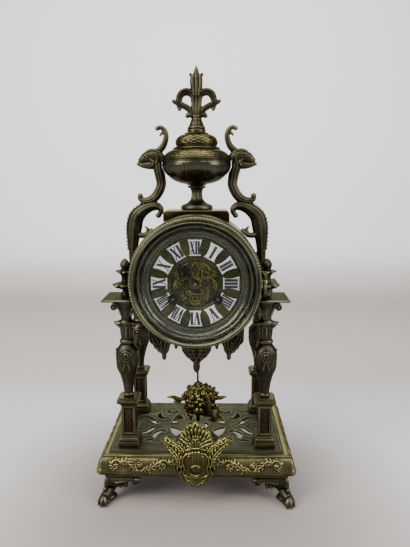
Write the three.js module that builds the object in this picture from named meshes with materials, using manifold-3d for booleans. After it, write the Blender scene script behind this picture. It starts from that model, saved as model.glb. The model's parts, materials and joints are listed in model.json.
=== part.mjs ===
// Mantel clock in cast brass: four pillars on a pierced base with paw feet carry a
// drum with a cartouche dial, a hinged glass, a free pendulum and an urn on top.
// Millimetres, +Z up, the dial faces -Y. The origin is the middle of the footprint.

import * as THREE from 'three';
import { mergeVertices } from 'three/addons/utils/BufferGeometryUtils.js';
import Module from 'manifold-3d';

const wasm = await Module();
wasm.setup();

// Clearances
const SEAT = 0.3; // between castings that are screwed face to face
const RUN = 0.4; // round a shaft or beside a moving piece

// Base
const BASE_MARGIN_X = 32; // from the pillars' axes to its widest edge
const BASE_MARGIN_Y = 30.7;
const BASE_CORNER = 6;
const FOOT_HEIGHT = 29.7;
const FRAME_HEIGHT = 24.5; // from the underside to the ledge that carries the top plate
const LEDGE_INSET = 12.2; // from the widest edge to the side of the top plate's recess
const LEDGE_WIDTH = 10;
const TOP_THICK = 3;

// Pillars
const PILLAR_OUTSET = 6; // of their axes outside the drum's flank
const PILLAR_Y = 41.3;
const PEDESTAL_HALF = 11.2;
const PEDESTAL_SHAFT_HALF = 7.25;
const PEDESTAL_HEIGHT = 53.9;
const COLUMN_BELLY = 12.1;
const COLUMN_HEIGHT = 106.4;
const VOLUTE_REACH = 12.2;
const VOLUTE_RADIUS = 4.5;
const PLATE_HALF = 21.5;
const PLATE_THICK = 2;
const FINIAL_HEIGHT = 39.7;
const FINIAL_RADIUS = 12;

// Drum
const DRUM_RADIUS = 67;
const DRUM_WALL = 1.8;
const DRUM_SIDES = 24;
const DRUM_RISE = 17.6; // of its axis over the capital plates
const DRUM_LIP = 5; // width of the rabbet that takes the dial
const DOOR_RADIUS = 44;
const DOOR_THICK = 1.6;
const DOOR_KNUCKLE = 2;
const DOOR_KNUCKLE_HALF = 4;
const DOOR_HINGE_HALF = 8;
const DOOR_PIN_RADIUS = 1;

// Bezel and its hinge
const BEZEL_STEP = 1; // from the drum's edge in to the bezel's
const BEZEL_WIDTH = 8.5;
const BEZEL_DEPTH = 12;
const BEZEL_BEADS = 16;
const GLASS_THICK = 1.6;
const GLASS_RISE = 3;
const KNUCKLE_RADIUS = 2.4;
const HINGE_PIN_RADIUS = 1.1;
const KNUCKLE_HALF = 4.5;
const HINGE_HALF = 10.5;

// Dial
const DIAL_THICK = 1.5;
const DIAL_SEAT_DEPTH = 4.4; // from the drum's front to the ledge behind the dial
const DIAL_CLEAR = 7.4; // between the dial and the movement's front plate
const NUMERAL_OUTER = 43.5;
const NUMERAL_INNER = 27.5;
const NUMERAL_OUTER_WIDTH = 14;
const NUMERAL_INNER_WIDTH = 12;
const NUMERAL_THICK = 1.2;
const NUMERAL_COUNT = 12;
const CHAPTER_RISE = 0.7;
const WINDING_X = 22.4;
const WINDING_DROP = 16.4;
const WINDING_HOLE = 4;
const HAND_THICK = 0.6;
const MINUTE_REACH = 37;
const HOUR_REACH = 25;
const MINUTE_ANGLE = 318; // clockwise from twelve, at seven minutes to eleven
const HOUR_ANGLE = 326.5;

// Movement
const MOVEMENT_RADIUS = 43;
const MOVEMENT_PLATE = 1.8;
const MOVEMENT_DEPTH = 36;
const MOVEMENT_SETBACK = 16; // from its back to the plane of the pendulum
const SPACER_RADIUS = 2.5;
const SPACER_CIRCLE = 39;
const CENTRE_ARBOR = 1.6;
const BARREL_RADIUS = 13;
const BARREL_TEETH = 16;
const BARREL_TOOTH = 1.9;
const BARREL_LENGTH = 20;
const WINDING_ARBOR = 2;
const PIVOT_RISE = 21.4; // of the pendulum's pivot over the dial's centre
const BELL_RADIUS = 30;
const BELL_MOUTH = 7; // from the plane of the pendulum
const BELL_DEPTH = 17;
const BELL_CLEAR = 6; // from the bell's crown to the drum's back
const BELL_POST = 2;
const HAMMER_X = -33;
const HAMMER_RISE = 13.4;
const HAMMER_HEAD = 3.5;
const ARBOR_RADIUS = 1.2;
const FORK_DROP = 52; // from the pivot to the fork that holds the rod

// Pendulum
const ROD_RADIUS = 1.2;
const BOB_RISE = 30.4; // of the bob's centre over the base
const BOB_RADIUS = 23.5;
const BOB_DEPTH = 8;
const SLOT_HALF_X = 9;
const SLOT_HALF_Y = 5;

// Urn
const PLINTH_HALF_X = 35;
const PLINTH_HALF_Y = 22;
const PLINTH_RISE = 2.9; // of its top over the drum's crown
const PLINTH_SIDE = 15.5;
const URN_FOOT_HEIGHT = 25.5;
const URN_FOOT_RADIUS = 17.4;
const BOWL_RADIUS = 37.2;
const BOWL_HEIGHT = 25.1;
const BOWL_GADROON = 0.02; // swell of the gadroons, as a share of the radius
const URN_WALL = 2;
const LID_HEIGHT = 30.7;
const LID_NECK = 9.25;

// Scroll castings
const BRACKET_DEPTH = 5.5; // half its thickness
const FLEUR_HALF_DEPTH = 3.6;
const APRON_Y = -35;
const APRON_THICK = 4;

// Front cartouche
const CARTOUCHE_THICK = 3.2;
const CARTOUCHE_RELIEF = 3;
const CARTOUCHE_HOLE = 4.7;

// Plan sizes that follow from the drum and the pillars
const PILLAR_X = DRUM_RADIUS + PILLAR_OUTSET;
const BASE_HALF_X = PILLAR_X + BASE_MARGIN_X;
const BASE_HALF_Y = PILLAR_Y + BASE_MARGIN_Y;

// Heights that follow from the stack of parts
const BASE_BOTTOM = FOOT_HEIGHT + SEAT;
const LEDGE_Z = BASE_BOTTOM + FRAME_HEIGHT;
const BASE_TOP = LEDGE_Z + SEAT + TOP_THICK;
const PEDESTAL_Z = BASE_TOP + SEAT;
const COLUMN_Z = PEDESTAL_Z + PEDESTAL_HEIGHT + SEAT;
const PLATE_Z = COLUMN_Z + COLUMN_HEIGHT + SEAT;
const PLATE_TOP = PLATE_Z + PLATE_THICK;
const DRUM_Z = PLATE_TOP + DRUM_RISE;
const PLINTH_TOP = DRUM_Z + DRUM_RADIUS + PLINTH_RISE;
const URN_Z = PLINTH_TOP + SEAT;
const BOWL_Z = URN_Z + URN_FOOT_HEIGHT + SEAT;
const LID_Z = BOWL_Z + BOWL_HEIGHT + SEAT;
const FLEUR_Z = LID_Z + LID_HEIGHT + SEAT;
const PIVOT_Z = DRUM_Z + PIVOT_RISE;
const BOB_Z = BASE_TOP + BOB_RISE;

// Depths that follow from the plane of the pendulum, forwards and then backwards
const MOVEMENT_BACK = -MOVEMENT_SETBACK;
const MOVEMENT_FRONT = MOVEMENT_BACK - MOVEMENT_DEPTH;
const FRONT_PLATE_INSIDE = MOVEMENT_FRONT + MOVEMENT_PLATE;
const BACK_PLATE_INSIDE = MOVEMENT_BACK - MOVEMENT_PLATE;
const DIAL_BACK = MOVEMENT_FRONT - DIAL_CLEAR;
const DRUM_FRONT = DIAL_BACK + SEAT - DIAL_SEAT_DEPTH;
const DIAL_FACE = DIAL_BACK - DIAL_THICK;
const CHAPTER_FACE = DIAL_FACE - CHAPTER_RISE;
const NUMERAL_FACE = CHAPTER_FACE - SEAT - NUMERAL_THICK;
const HOUR_BACK = NUMERAL_FACE - 0.9;
const MINUTE_BACK = HOUR_BACK - HAND_THICK - 1;
const HOUR_PIPE = CENTRE_ARBOR + RUN + 0.9;
const DRUM_BACK = BELL_MOUTH + BELL_DEPTH + BELL_CLEAR;

// Radii and hinge axes that follow from the drum
const BEZEL_RADIUS = DRUM_RADIUS - BEZEL_STEP;
const BEZEL_INNER = BEZEL_RADIUS - BEZEL_WIDTH;
const HINGE_X = BEZEL_RADIUS + KNUCKLE_RADIUS + RUN;
const HINGE_Y = DRUM_FRONT - SEAT - 1.7;
const DOOR_HINGE_X = DOOR_RADIUS + DOOR_KNUCKLE + RUN;
const DOOR_HINGE_Y = DRUM_BACK + SEAT + DOOR_KNUCKLE;

// Materials
function metal(color, roughness, metalness = 1) {
  return new THREE.MeshStandardMaterial({ color, roughness, metalness });
}
const DARK_BRASS = metal(0x5b5138, 0.45);
const OLIVE_BRASS = metal(0x6f6a45, 0.38);
const GILT = metal(0x9c8a3f, 0.35);
const PLATE_BRASS = metal(0x7f8570, 0.3);
const STEEL = metal(0x2c2d33, 0.35);
const BRIGHT_BRASS = metal(0xa88f4c, 0.3);
const ENAMEL = metal(0xe9e6df, 0.2, 0);
const GLASS = new THREE.MeshStandardMaterial({
  color: 0xdfe6e4, roughness: 0.05, metalness: 0, transparent: true, opacity: 0.25,
});

// Closed solids from three.js geometries
const MERGE = 1e-4;

function signedVolume(position, index) {
  const [a, b, c] = [new THREE.Vector3(), new THREE.Vector3(), new THREE.Vector3()];
  let sum = 0;
  for (let i = 0; i < index.length; i += 3) {
    a.fromBufferAttribute(position, index[i]);
    b.fromBufferAttribute(position, index[i + 1]);
    c.fromBufferAttribute(position, index[i + 2]);
    sum += a.dot(b.cross(c));
  }
  return sum;
}

function solid(geometry) {
  const bare = geometry.clone();
  bare.deleteAttribute('normal');
  bare.deleteAttribute('uv');
  const merged = mergeVertices(bare, MERGE);
  const index = [];
  for (let i = 0; i < merged.index.count; i += 3) {
    const [a, b, c] = [0, 1, 2].map((k) => merged.index.getX(i + k));
    if (a !== b && b !== c && c !== a) index.push(a, b, c);
  }
  if (signedVolume(merged.attributes.position, index) < 0) index.reverse();
  return new wasm.Manifold(new wasm.Mesh({
    numProp: 3,
    vertProperties: new Float32Array(merged.attributes.position.array),
    triVerts: new Uint32Array(index),
  }));
}

function join(...geometries) {
  return geometries.map(asSolid).reduce((whole, piece) => whole.add(piece));
}

function cut(body, ...tools) {
  return tools.map(asSolid).reduce((rest, tool) => rest.subtract(tool), asSolid(body));
}

function asSolid(shape) {
  return shape.isBufferGeometry ? solid(shape) : shape;
}

function toGeometry(body) {
  const mesh = asSolid(body).getMesh();
  const geometry = new THREE.BufferGeometry();
  geometry.setAttribute('position', new THREE.BufferAttribute(mesh.vertProperties, 3));
  geometry.setIndex(new THREE.BufferAttribute(mesh.triVerts, 1));
  geometry.computeVertexNormals();
  return geometry;
}

// Shape makers
const ACROSS_Y = new THREE.Vector3(0, 1, 0);

function lathe(outline, segments) {
  return new THREE.LatheGeometry(outline.map(([r, h]) => new THREE.Vector2(r, h)), segments);
}

function onAxis(profile) {
  return [[0, profile[0][1]], ...profile, [0, profile[profile.length - 1][1]]];
}

function closed(profile) {
  return [...profile, profile[0]];
}

function turned(profile, segments) {
  return lathe(onAxis(profile), segments).rotateX(Math.PI / 2);
}

function turnedShell(profile, segments) {
  return lathe(profile, segments).rotateX(Math.PI / 2);
}

function facing(profile, segments) {
  return lathe(onAxis(profile), segments);
}

function facingRing(profile, segments) {
  return lathe(closed(profile), segments);
}

function squareTurned(profile) {
  return turned(profile.map(([half, z]) => [half * Math.SQRT2, z]), 4).rotateZ(Math.PI / 4);
}

function box(x0, x1, y0, y1, z0, z1) {
  const geometry = new THREE.BoxGeometry(x1 - x0, y1 - y0, z1 - z0);
  return geometry.translate((x0 + x1) / 2, (y0 + y1) / 2, (z0 + z1) / 2);
}

function rodY(radius, x, y0, y1, z, segments = 8) {
  return new THREE.CylinderGeometry(radius, radius, y1 - y0, segments)
    .translate(x, (y0 + y1) / 2, z);
}

function rodZ(radius, x, y, z0, z1, segments = 8) {
  return new THREE.CylinderGeometry(radius, radius, z1 - z0, segments)
    .rotateX(Math.PI / 2).translate(x, y, (z0 + z1) / 2);
}

function ellipsoid(rx, ry, rz, x, y, z, wide = 8, high = 5) {
  return new THREE.SphereGeometry(1, wide, high).rotateX(Math.PI / 2)
    .scale(rx, ry, rz).translate(x, y, z);
}

// Pushes the surface of a turned piece in and out as leaves or gadroons
function lobed(geometry, count, depth, low, high, axis = 'z') {
  const position = geometry.attributes.position;
  for (let i = 0; i < position.count; i += 1) {
    const height = axis === 'z' ? position.getZ(i) : position.getY(i);
    const across = axis === 'z' ? position.getY(i) : position.getZ(i);
    if (height <= low || height >= high) continue;
    const scale = 1 + depth * Math.cos(count * Math.atan2(across, position.getX(i)));
    position.setX(i, position.getX(i) * scale);
    if (axis === 'z') position.setY(i, across * scale);
    else position.setZ(i, across * scale);
  }
  return geometry;
}

// Sweeps an elliptical section along stations of [x, y, z, half width, half depth]
function limb(stations, across = ACROSS_Y, sides = 6, stepsPerSpan = 2) {
  const line = new THREE.CatmullRomCurve3(stations.map(([x, y, z]) => new THREE.Vector3(x, y, z)));
  const size = new THREE.CatmullRomCurve3(stations.map((s) => new THREE.Vector3(s[3], s[4], 0)));
  const steps = stepsPerSpan * (stations.length - 1);
  const geometry = new THREE.CylinderGeometry(1, 1, 1, sides, steps);
  const position = geometry.attributes.position;
  for (let i = 0; i < position.count; i += 1) {
    const t = THREE.MathUtils.clamp(position.getY(i) + 0.5, 0, 1);
    const half = size.getPoint(t);
    const side = line.getTangent(t).cross(across).normalize();
    const point = line.getPoint(t)
      .addScaledVector(side, position.getX(i) * half.x)
      .addScaledVector(across, position.getZ(i) * half.y);
    position.setXYZ(i, point.x, point.y, point.z);
  }
  return geometry;
}

// A planar scroll in the XZ plane from [x, z, half width] or [x, z, half width, half depth]
function scroll(points, halfDepth, sides = 6, stepsPerSpan = 2) {
  const stations = points.map(([x, z, w, d]) => [x, 0, z, w, d ?? Math.min(halfDepth, w * 1.5)]);
  return limb(stations, ACROSS_Y, sides, stepsPerSpan);
}

// An outline in the XZ plane, thickened from the plane y towards the viewer
function casting(points, y, thick) {
  const shape = new THREE.Shape(points.map(([x, z]) => new THREE.Vector2(x, z)));
  return new THREE.ExtrudeGeometry(shape, { depth: thick, bevelEnabled: false })
    .rotateX(Math.PI / 2).translate(0, y, 0);
}

function mirrored(rightHalf) {
  const left = rightHalf.filter(([x]) => x > 0).map(([x, z]) => [-x, z]).reverse();
  return [...rightHalf, ...left];
}

// A moulding carried round a rounded rectangle, from [inset, height] points
function framed(profile, halfX, halfY, radius, cornerSteps = 3) {
  const outline = closed(profile);
  const perCorner = cornerSteps + 1;
  const geometry = lathe(outline, 4 * perCorner);
  const position = geometry.attributes.position;
  for (let i = 0; i < position.count; i += 1) {
    const [inset, height] = outline[i % outline.length];
    const turn = Math.floor(i / outline.length) % (4 * perCorner);
    const corner = Math.floor(turn / perCorner);
    const angle = (corner + (turn % perCorner) / cornerSteps) * (Math.PI / 2);
    const signX = corner === 0 || corner === 3 ? 1 : -1;
    const signY = corner < 2 ? 1 : -1;
    const bend = Math.max(radius - inset, 1);
    position.setXYZ(
      i,
      signX * (halfX - inset - bend) + bend * Math.cos(angle),
      signY * (halfY - inset - bend) + bend * Math.sin(angle),
      height,
    );
  }
  return geometry;
}

function drumSpace(gap) {
  return rodY(DRUM_RADIUS + gap, 0, DRUM_FRONT - gap, DRUM_BACK + gap, DRUM_Z, DRUM_SIDES);
}

function urnSpace(gap) {
  const r = BOWL_RADIUS * (1 + BOWL_GADROON) + gap;
  const h = BOWL_HEIGHT;
  return turned([[r * 0.86, h * 0.36], [r * 0.97, h * 0.58], [r, h * 0.72], [r, h + 3]], 20)
    .translate(0, 0, BOWL_Z);
}

// Assembly
const clock = new THREE.Group();

function place(name, body, material) {
  const mesh = new THREE.Mesh(toGeometry(body), material);
  mesh.name = name;
  clock.add(mesh);
  return mesh;
}

const CORNERS = [
  ['front_left', -1, -1],
  ['front_right', 1, -1],
  ['back_left', -1, 1],
  ['back_right', 1, 1],
];

// Base frame: a hollow moulding with a ledge for the pierced plate
function baseFrame() {
  const z = BASE_BOTTOM;
  const ledge = LEDGE_Z;
  const inner = LEDGE_INSET + LEDGE_WIDTH;
  return framed([
    [4.5, z], [4.5, z + 5], [2.2, z + 6.2], [0, z + 8.5], [0, z + 12.5],
    [1.5, z + 17], [4.5, z + 21], [9, ledge - 0.6], [9, ledge + 1], [LEDGE_INSET, ledge + 1],
    [LEDGE_INSET, ledge], [inner, ledge], [inner, ledge - 3],
    [12, ledge - 3.5], [4, z + 12], [4, z + 8.5], [7.5, z],
  ], BASE_HALF_X, BASE_HALF_Y, BASE_CORNER, 2);
}

// A tapering curved slot round (x, y), from angle a0 to a1 in degrees
function crescent(x, y, radius, a0, a1, width, steps) {
  const outer = [];
  const inner = [];
  for (let i = 0; i <= steps; i += 1) {
    const share = i / steps;
    const angle = THREE.MathUtils.degToRad(a0 + (a1 - a0) * share);
    const half = (width / 2) * Math.sin(Math.PI * (0.12 + 0.76 * share));
    outer.push([x + (radius + half) * Math.cos(angle), y + (radius + half) * Math.sin(angle)]);
    inner.push([x + (radius - half) * Math.cos(angle), y + (radius - half) * Math.sin(angle)]);
  }
  return [...outer, ...inner.reverse()];
}

// One quarter of the pierced scrollwork, as a list of hole outlines
function scrollworkHoles() {
  return [
    crescent(63, 0, 16, 40, 132, 5, 3),
    crescent(33.5, 29, 13.5, -84, 6, 6, 3),
    [[31.5, 5], [27, 6.5], [21.5, 10.5], [18, 13], [19.5, 19], [24, 26], [27.5, 20.5], [29.5, 13]],
    crescent(50, 46, 10, -100, -45, 3.2, 2),
    crescent(25, 47, 11, -110, -50, 3.2, 2),
    crescent(5, 26, 8.5, -75, 15, 4, 2),
  ];
}

function axisHoles() {
  return [
    [[48, 0], [53, -4.2], [55, 0], [53, 4.2]],
    [[3.5, 0], [9, -6.5], [13.5, 0], [9, 6.5]],
  ];
}

function mirrorPath(points, signX, signY) {
  return new THREE.Path(points.map(([x, y]) => new THREE.Vector2(signX * x, signY * y)));
}

// Top plate of the base, with the scrollwork cut through
function basePlate() {
  const halfX = BASE_HALF_X - LEDGE_INSET - SEAT;
  const halfY = BASE_HALF_Y - LEDGE_INSET - SEAT;
  const shape = new THREE.Shape([
    new THREE.Vector2(-halfX, -halfY), new THREE.Vector2(halfX, -halfY),
    new THREE.Vector2(halfX, halfY), new THREE.Vector2(-halfX, halfY),
  ]);
  for (const [, sx, sy] of CORNERS) {
    for (const hole of scrollworkHoles()) shape.holes.push(mirrorPath(hole, sx, sy));
  }
  for (const sx of [-1, 1]) {
    for (const hole of axisHoles()) shape.holes.push(mirrorPath(hole, sx, 1));
  }
  return new THREE.ExtrudeGeometry(shape, { depth: TOP_THICK, bevelEnabled: false })
    .translate(0, 0, LEDGE_Z + SEAT);
}

// Paw foot with a scroll leaf along each side of the corner, for the front right
function foot() {
  const top = FOOT_HEIGHT;
  const cornerX = BASE_HALF_X - 9;
  const cornerY = -(BASE_HALF_Y - 9);
  const across = new THREE.Vector3(1, 1, 0).normalize();
  const leaf = [
    [-37, top - 6, 1.4, 2], [-31, top - 3.4, 3, 3], [-17, top - 6, 5.4, 3.6], [0, top - 5, 5, 4.5],
  ];
  const paw = [cornerX + 1.8, cornerY - 4.8];
  const leg = limb([
    [cornerX - 4, cornerY + 4, top + 1, 8, 8],
    [cornerX + 0.5, cornerY - 0.5, top - 8, 6, 5.6],
    [cornerX + 2.6, cornerY - 4.1, top - 17, 4.2, 4.2],
    [paw[0], paw[1], 6, 5, 5.6],
    [paw[0], paw[1], -1.5, 5.4, 6.4],
  ], across, 5, 1);
  const toes = [-96, -63, -30, 3].map((degrees) => {
    const angle = THREE.MathUtils.degToRad(degrees);
    const reach = 4.6;
    return ellipsoid(3.2, 3.2, 4.2, paw[0] + reach * Math.cos(angle), paw[1] + reach * Math.sin(angle),
      2.8, 4, 3);
  });
  const alongX = scroll(leaf, 4, 4, 1).translate(cornerX, cornerY + 2, 0);
  const alongY = scroll(leaf, 4, 4, 1).rotateZ(-Math.PI / 2).translate(cornerX - 2, cornerY, 0);
  const whole = join(leg, alongX, alongY, ...toes);
  const span = 400;
  return cut(
    whole,
    box(-span, span, -span, span, -span, 0),
    box(-span, span, -span, span, top, span),
  );
}

// Square pedestal with a sunk panel in each face
function pedestal() {
  const h = PEDESTAL_HEIGHT;
  const wide = PEDESTAL_HALF;
  const slim = PEDESTAL_SHAFT_HALF;
  const body = squareTurned([
    [wide, 0], [wide, 4.6], [wide - 1.2, 5.4], [wide - 1.2, 7.6], [wide - 3, 9.6], [slim, 11.4],
    [slim, h - 9], [wide - 2.6, h - 6.6], [wide - 0.6, h - 5], [wide, h - 4.4], [wide, h - 2],
    [wide - 1.8, h - 1.2], [wide - 1.8, h],
  ]);
  const half = slim - 2.2;
  const deep = 0.8;
  const z0 = 14;
  const z1 = h - 11.5;
  const reach = slim + 2;
  return cut(
    body,
    box(-half, half, -reach, -slim + deep, z0, z1),
    box(-half, half, slim - deep, reach, z0, z1),
    box(-reach, -slim + deep, -half, half, z0, z1),
    box(slim - deep, reach, -half, half, z0, z1),
  ).translate(PILLAR_X, -PILLAR_Y, PEDESTAL_Z);
}

// Baluster column with elbows at the shoulder and volutes under the plate
function column() {
  const h = COLUMN_HEIGHT;
  const belly = COLUMN_BELLY;
  const flat = 0.88;
  const profile = [
    [5.2, 0], [5.2, h * 0.1], [belly * 0.79, h * 0.245], [belly, h * 0.414],
    [belly * 0.83, h * 0.5], [6.4, h * 0.553], [7.6, h * 0.574], [6, h * 0.598],
    [6, h * 0.846], [9.4, h * 0.972], [9.4, h],
  ];
  const shaft = turned(profile, 8).scale(1, flat, 1);
  const elbowZ = h * 0.746;
  const voluteZ = h - 2 * VOLUTE_RADIUS;
  const parts = [shaft];
  for (const side of [-1, 1]) {
    parts.push(ellipsoid(5, 4.4, 3.4, side * 8.4, 0, elbowZ, 4, 3));
    parts.push(rodY(VOLUTE_RADIUS, side * VOLUTE_REACH, -4.6, 4.6, voluteZ, 6));
  }
  const bridge = VOLUTE_RADIUS * 0.94;
  parts.push(box(-VOLUTE_REACH, VOLUTE_REACH, -4.2, 4.2, voluteZ - bridge, voluteZ + bridge));
  const whole = join(...parts).translate(PILLAR_X, -PILLAR_Y, COLUMN_Z);
  return cut(whole, drumSpace(RUN));
}

// Capital plate, hollowed where the drum rests against it
function capitalPlate() {
  const plate = box(
    PILLAR_X - PLATE_HALF, PILLAR_X + PLATE_HALF, -PILLAR_Y - PLATE_HALF, -PILLAR_Y + PLATE_HALF,
    PLATE_Z, PLATE_TOP,
  );
  return cut(plate, drumSpace(SEAT));
}

// Tiered leaf finial on the plate
function plateFinial() {
  const r = FINIAL_RADIUS;
  const h = FINIAL_HEIGHT;
  const profile = [
    [5, 0], [5, h * 0.116], [3.4, h * 0.16], [r, h * 0.3], [r * 0.75, h * 0.34], [4, h * 0.39],
    [r * 0.75, h * 0.645], [4.4, h * 0.7], [4.8, h * 0.83], [0.7, h],
  ];
  const leaves = lobed(turned(profile, 8), 4, 0.08, h * 0.2, h * 0.67);
  leaves.translate(PILLAR_X, -PILLAR_Y, PLATE_TOP + SEAT);
  return cut(leaves, drumSpace(SEAT));
}

// The four corners repeat the front right pieces by mirroring
function pillarAndFoot(corner, signX, signY) {
  const pieces = [
    [`foot_${corner}`, foot(), DARK_BRASS],
    [`pedestal_${corner}`, pedestal(), DARK_BRASS],
    [`column_${corner}`, column(), DARK_BRASS],
    [`capital_plate_${corner}`, capitalPlate(), PLATE_BRASS],
    [`plate_finial_${corner}`, plateFinial(), DARK_BRASS],
  ];
  for (const [name, body, material] of pieces) {
    place(name, body, material).scale.set(signX, -signY, 1);
  }
}

// Heights of the two fixed lugs above and below a moving knuckle
function hingeEnds(knuckleHalf, hingeHalf) {
  return [
    [DRUM_Z - hingeHalf, DRUM_Z - knuckleHalf - SEAT],
    [DRUM_Z + knuckleHalf + SEAT, DRUM_Z + hingeHalf],
  ];
}

// Drum case with a ledge for the dial, a slot for the rod, and the bezel's hinge lugs and pin
function drumCase() {
  const r = DRUM_RADIUS;
  const inner = r - DRUM_WALL;
  const ledge = DRUM_FRONT + DIAL_SEAT_DEPTH;
  const shell = facingRing([
    [r, DRUM_FRONT], [r, DRUM_BACK], [DOOR_RADIUS - 2, DRUM_BACK],
    [DOOR_RADIUS - 2, DRUM_BACK - DRUM_WALL], [inner, DRUM_BACK - DRUM_WALL],
    [inner, ledge + DRUM_WALL], [r - DRUM_LIP - 3, ledge + DRUM_WALL], [r - DRUM_LIP - 3, ledge],
    [r - DRUM_LIP, ledge], [r - DRUM_LIP, DRUM_FRONT],
  ], DRUM_SIDES).translate(0, 0, DRUM_Z);
  const lugs = hingeEnds(KNUCKLE_HALF, HINGE_HALF).map(([z0, z1]) => {
    const arm = box(inner, HINGE_X + KNUCKLE_RADIUS, HINGE_Y, DRUM_FRONT + 6, z0, z1);
    const clear = box(0, BEZEL_RADIUS + RUN, HINGE_Y - 9, DRUM_FRONT, z0 - 1, z1 + 1);
    return join(cut(arm, clear), rodZ(KNUCKLE_RADIUS, HINGE_X, HINGE_Y, z0, z1));
  });
  const pin = rodZ(
    HINGE_PIN_RADIUS, HINGE_X, HINGE_Y, DRUM_Z - HINGE_HALF - 1.4, DRUM_Z + HINGE_HALF + 1.4,
  );
  const slot = box(
    -SLOT_HALF_X, SLOT_HALF_X, -SLOT_HALF_Y, SLOT_HALF_Y, DRUM_Z - r - 5, DRUM_Z - r + 8,
  );
  return cut(join(shell, ...lugs, pin), slot);
}

// Apron of pendants under the drum
function drumApron() {
  const reach = DRUM_RADIUS + SEAT;
  const top = 51;
  const arc = [];
  const steps = 8;
  const edge = Math.asin(top / reach);
  for (let i = 0; i <= steps; i += 1) {
    const angle = edge * (i / steps);
    arc.push([reach * Math.sin(angle), -reach * Math.cos(angle)]);
  }
  const hem = [
    [50.5, 0.4], [46, -5.6], [40, -13.1], [37, -15.6], [36.6, -20.1], [34.5, -22.1],
    [32.4, -20.1], [32, -15.6], [29, -10.6], [26.5, -3], [24, -4.6], [22, -10.1], [20, -8.1],
    [17.4, -3.4], [15.8, -4.6], [15.4, -11.6], [11, -18.1], [4.6, -23.6], [3.6, -28.6],
    [3, -33.6], [0, -36.1],
  ].map(([x, drop]) => [x, drop - DRUM_RADIUS]);
  const rightHalf = [...arc, ...hem];
  const outline = mirrored(rightHalf);
  return casting(outline, APRON_Y, APRON_THICK).translate(0, 0, DRUM_Z);
}

// Bezel: roped edge, hollow band and a seat for the glass, with its hinge knuckle
function bezelRing() {
  const back = DRUM_FRONT - SEAT;
  const front = back - BEZEL_DEPTH;
  const r = BEZEL_RADIUS;
  const inner = BEZEL_INNER;
  const segments = 2 * BEZEL_BEADS;
  const profile = [
    [r - 1.4, back], [r, back - 2], [r - 1.4, back - 4.2], [r - 3.6, back - 5], [r - 5, front + 3],
    [r - 6.4, front], [inner + 0.4, front], [inner, front + 2], [inner, back - 4],
    [inner + 2, back],
  ];
  const body = facingRing(profile, segments);
  const position = body.attributes.position;
  for (let i = 0; i < position.count; i += 1) {
    const turn = Math.floor(i / (profile.length + 1));
    if (i % (profile.length + 1) === 1 && turn % 2 === 1) {
      const shrink = (r - 1.5) / r;
      position.setXYZ(i, position.getX(i) * shrink, position.getY(i), position.getZ(i) * shrink);
    }
  }
  body.translate(0, 0, DRUM_Z);
  const z0 = DRUM_Z - KNUCKLE_HALF;
  const z1 = DRUM_Z + KNUCKLE_HALF;
  const leaf = box(r - 3, HINGE_X, back - 3, back - 0.6, z0, z1);
  const knuckle = rodZ(KNUCKLE_RADIUS, HINGE_X, HINGE_Y, z0, z1);
  const bore = rodZ(HINGE_PIN_RADIUS + RUN, HINGE_X, HINGE_Y, z0 - 1, z1 + 1);
  return cut(join(body, leaf, knuckle), bore);
}

// Domed glass held inside the bezel
function bezelGlass() {
  const edge = DRUM_FRONT - SEAT - BEZEL_DEPTH * 0.43;
  const r = (BEZEL_INNER - SEAT) * Math.cos(Math.PI / (2 * BEZEL_BEADS));
  const t = GLASS_THICK;
  return lathe([
    [0, edge - GLASS_RISE - t], [r * 0.6, edge - GLASS_RISE * 0.64 - t], [r, edge - t], [r, edge],
    [r * 0.6, edge - GLASS_RISE * 0.64], [0, edge - GLASS_RISE],
  ], 20).translate(0, 0, DRUM_Z);
}

function windingHoles(radius, y0, y1) {
  return [-1, 1].map((side) => rodY(radius, side * WINDING_X, y0, y1, DRUM_Z - WINDING_DROP));
}

// Dial: a dished plate with a raised chapter ring, a moulded centre and three feet
function dialPlate() {
  const rim = DRUM_RADIUS - DRUM_LIP - SEAT;
  const hole = CENTRE_ARBOR + 2.6;
  const plate = facingRing([
    [hole, DIAL_BACK], [rim, DIAL_BACK], [rim, DIAL_FACE], [NUMERAL_OUTER + 2, DIAL_FACE],
    [NUMERAL_OUTER + 1, CHAPTER_FACE], [NUMERAL_INNER - 0.4, CHAPTER_FACE],
    [NUMERAL_INNER - 1, CHAPTER_FACE - 0.8], [NUMERAL_INNER - 3, CHAPTER_FACE - 0.8],
    [NUMERAL_INNER - 3.8, DIAL_FACE], [hole, DIAL_FACE],
  ], DRUM_SIDES).translate(0, 0, DRUM_Z);
  const feet = [90, 210, 330].map((degrees) => {
    const angle = THREE.MathUtils.degToRad(degrees);
    const reach = 33;
    return rodY(1.8, reach * Math.cos(angle), DIAL_BACK - 0.5, MOVEMENT_FRONT - SEAT,
      DRUM_Z + reach * Math.sin(angle), 6);
  });
  return cut(join(plate, ...feet), ...windingHoles(WINDING_HOLE, DIAL_FACE - 5, DIAL_BACK + 2));
}

// One enamel cartouche, wider outside than inside and waisted between
function numeralPlate(index) {
  const outer = NUMERAL_OUTER_WIDTH / 2;
  const inner = NUMERAL_INNER_WIDTH / 2;
  const mid = (NUMERAL_OUTER + NUMERAL_INNER) / 2;
  const waist = Math.min(outer, inner) - 1;
  const half = [
    [outer, NUMERAL_OUTER], [waist + 0.6, mid + 4], [waist, mid - 3], [inner, NUMERAL_INNER],
  ];
  const turn = -(2 * Math.PI * index) / NUMERAL_COUNT;
  const plate = casting(mirrored(half), NUMERAL_FACE + NUMERAL_THICK, NUMERAL_THICK)
    .rotateY(-turn).translate(0, 0, DRUM_Z);
  return cut(plate, ...windingHoles(WINDING_HOLE, NUMERAL_FACE - 1, DIAL_FACE));
}

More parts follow.
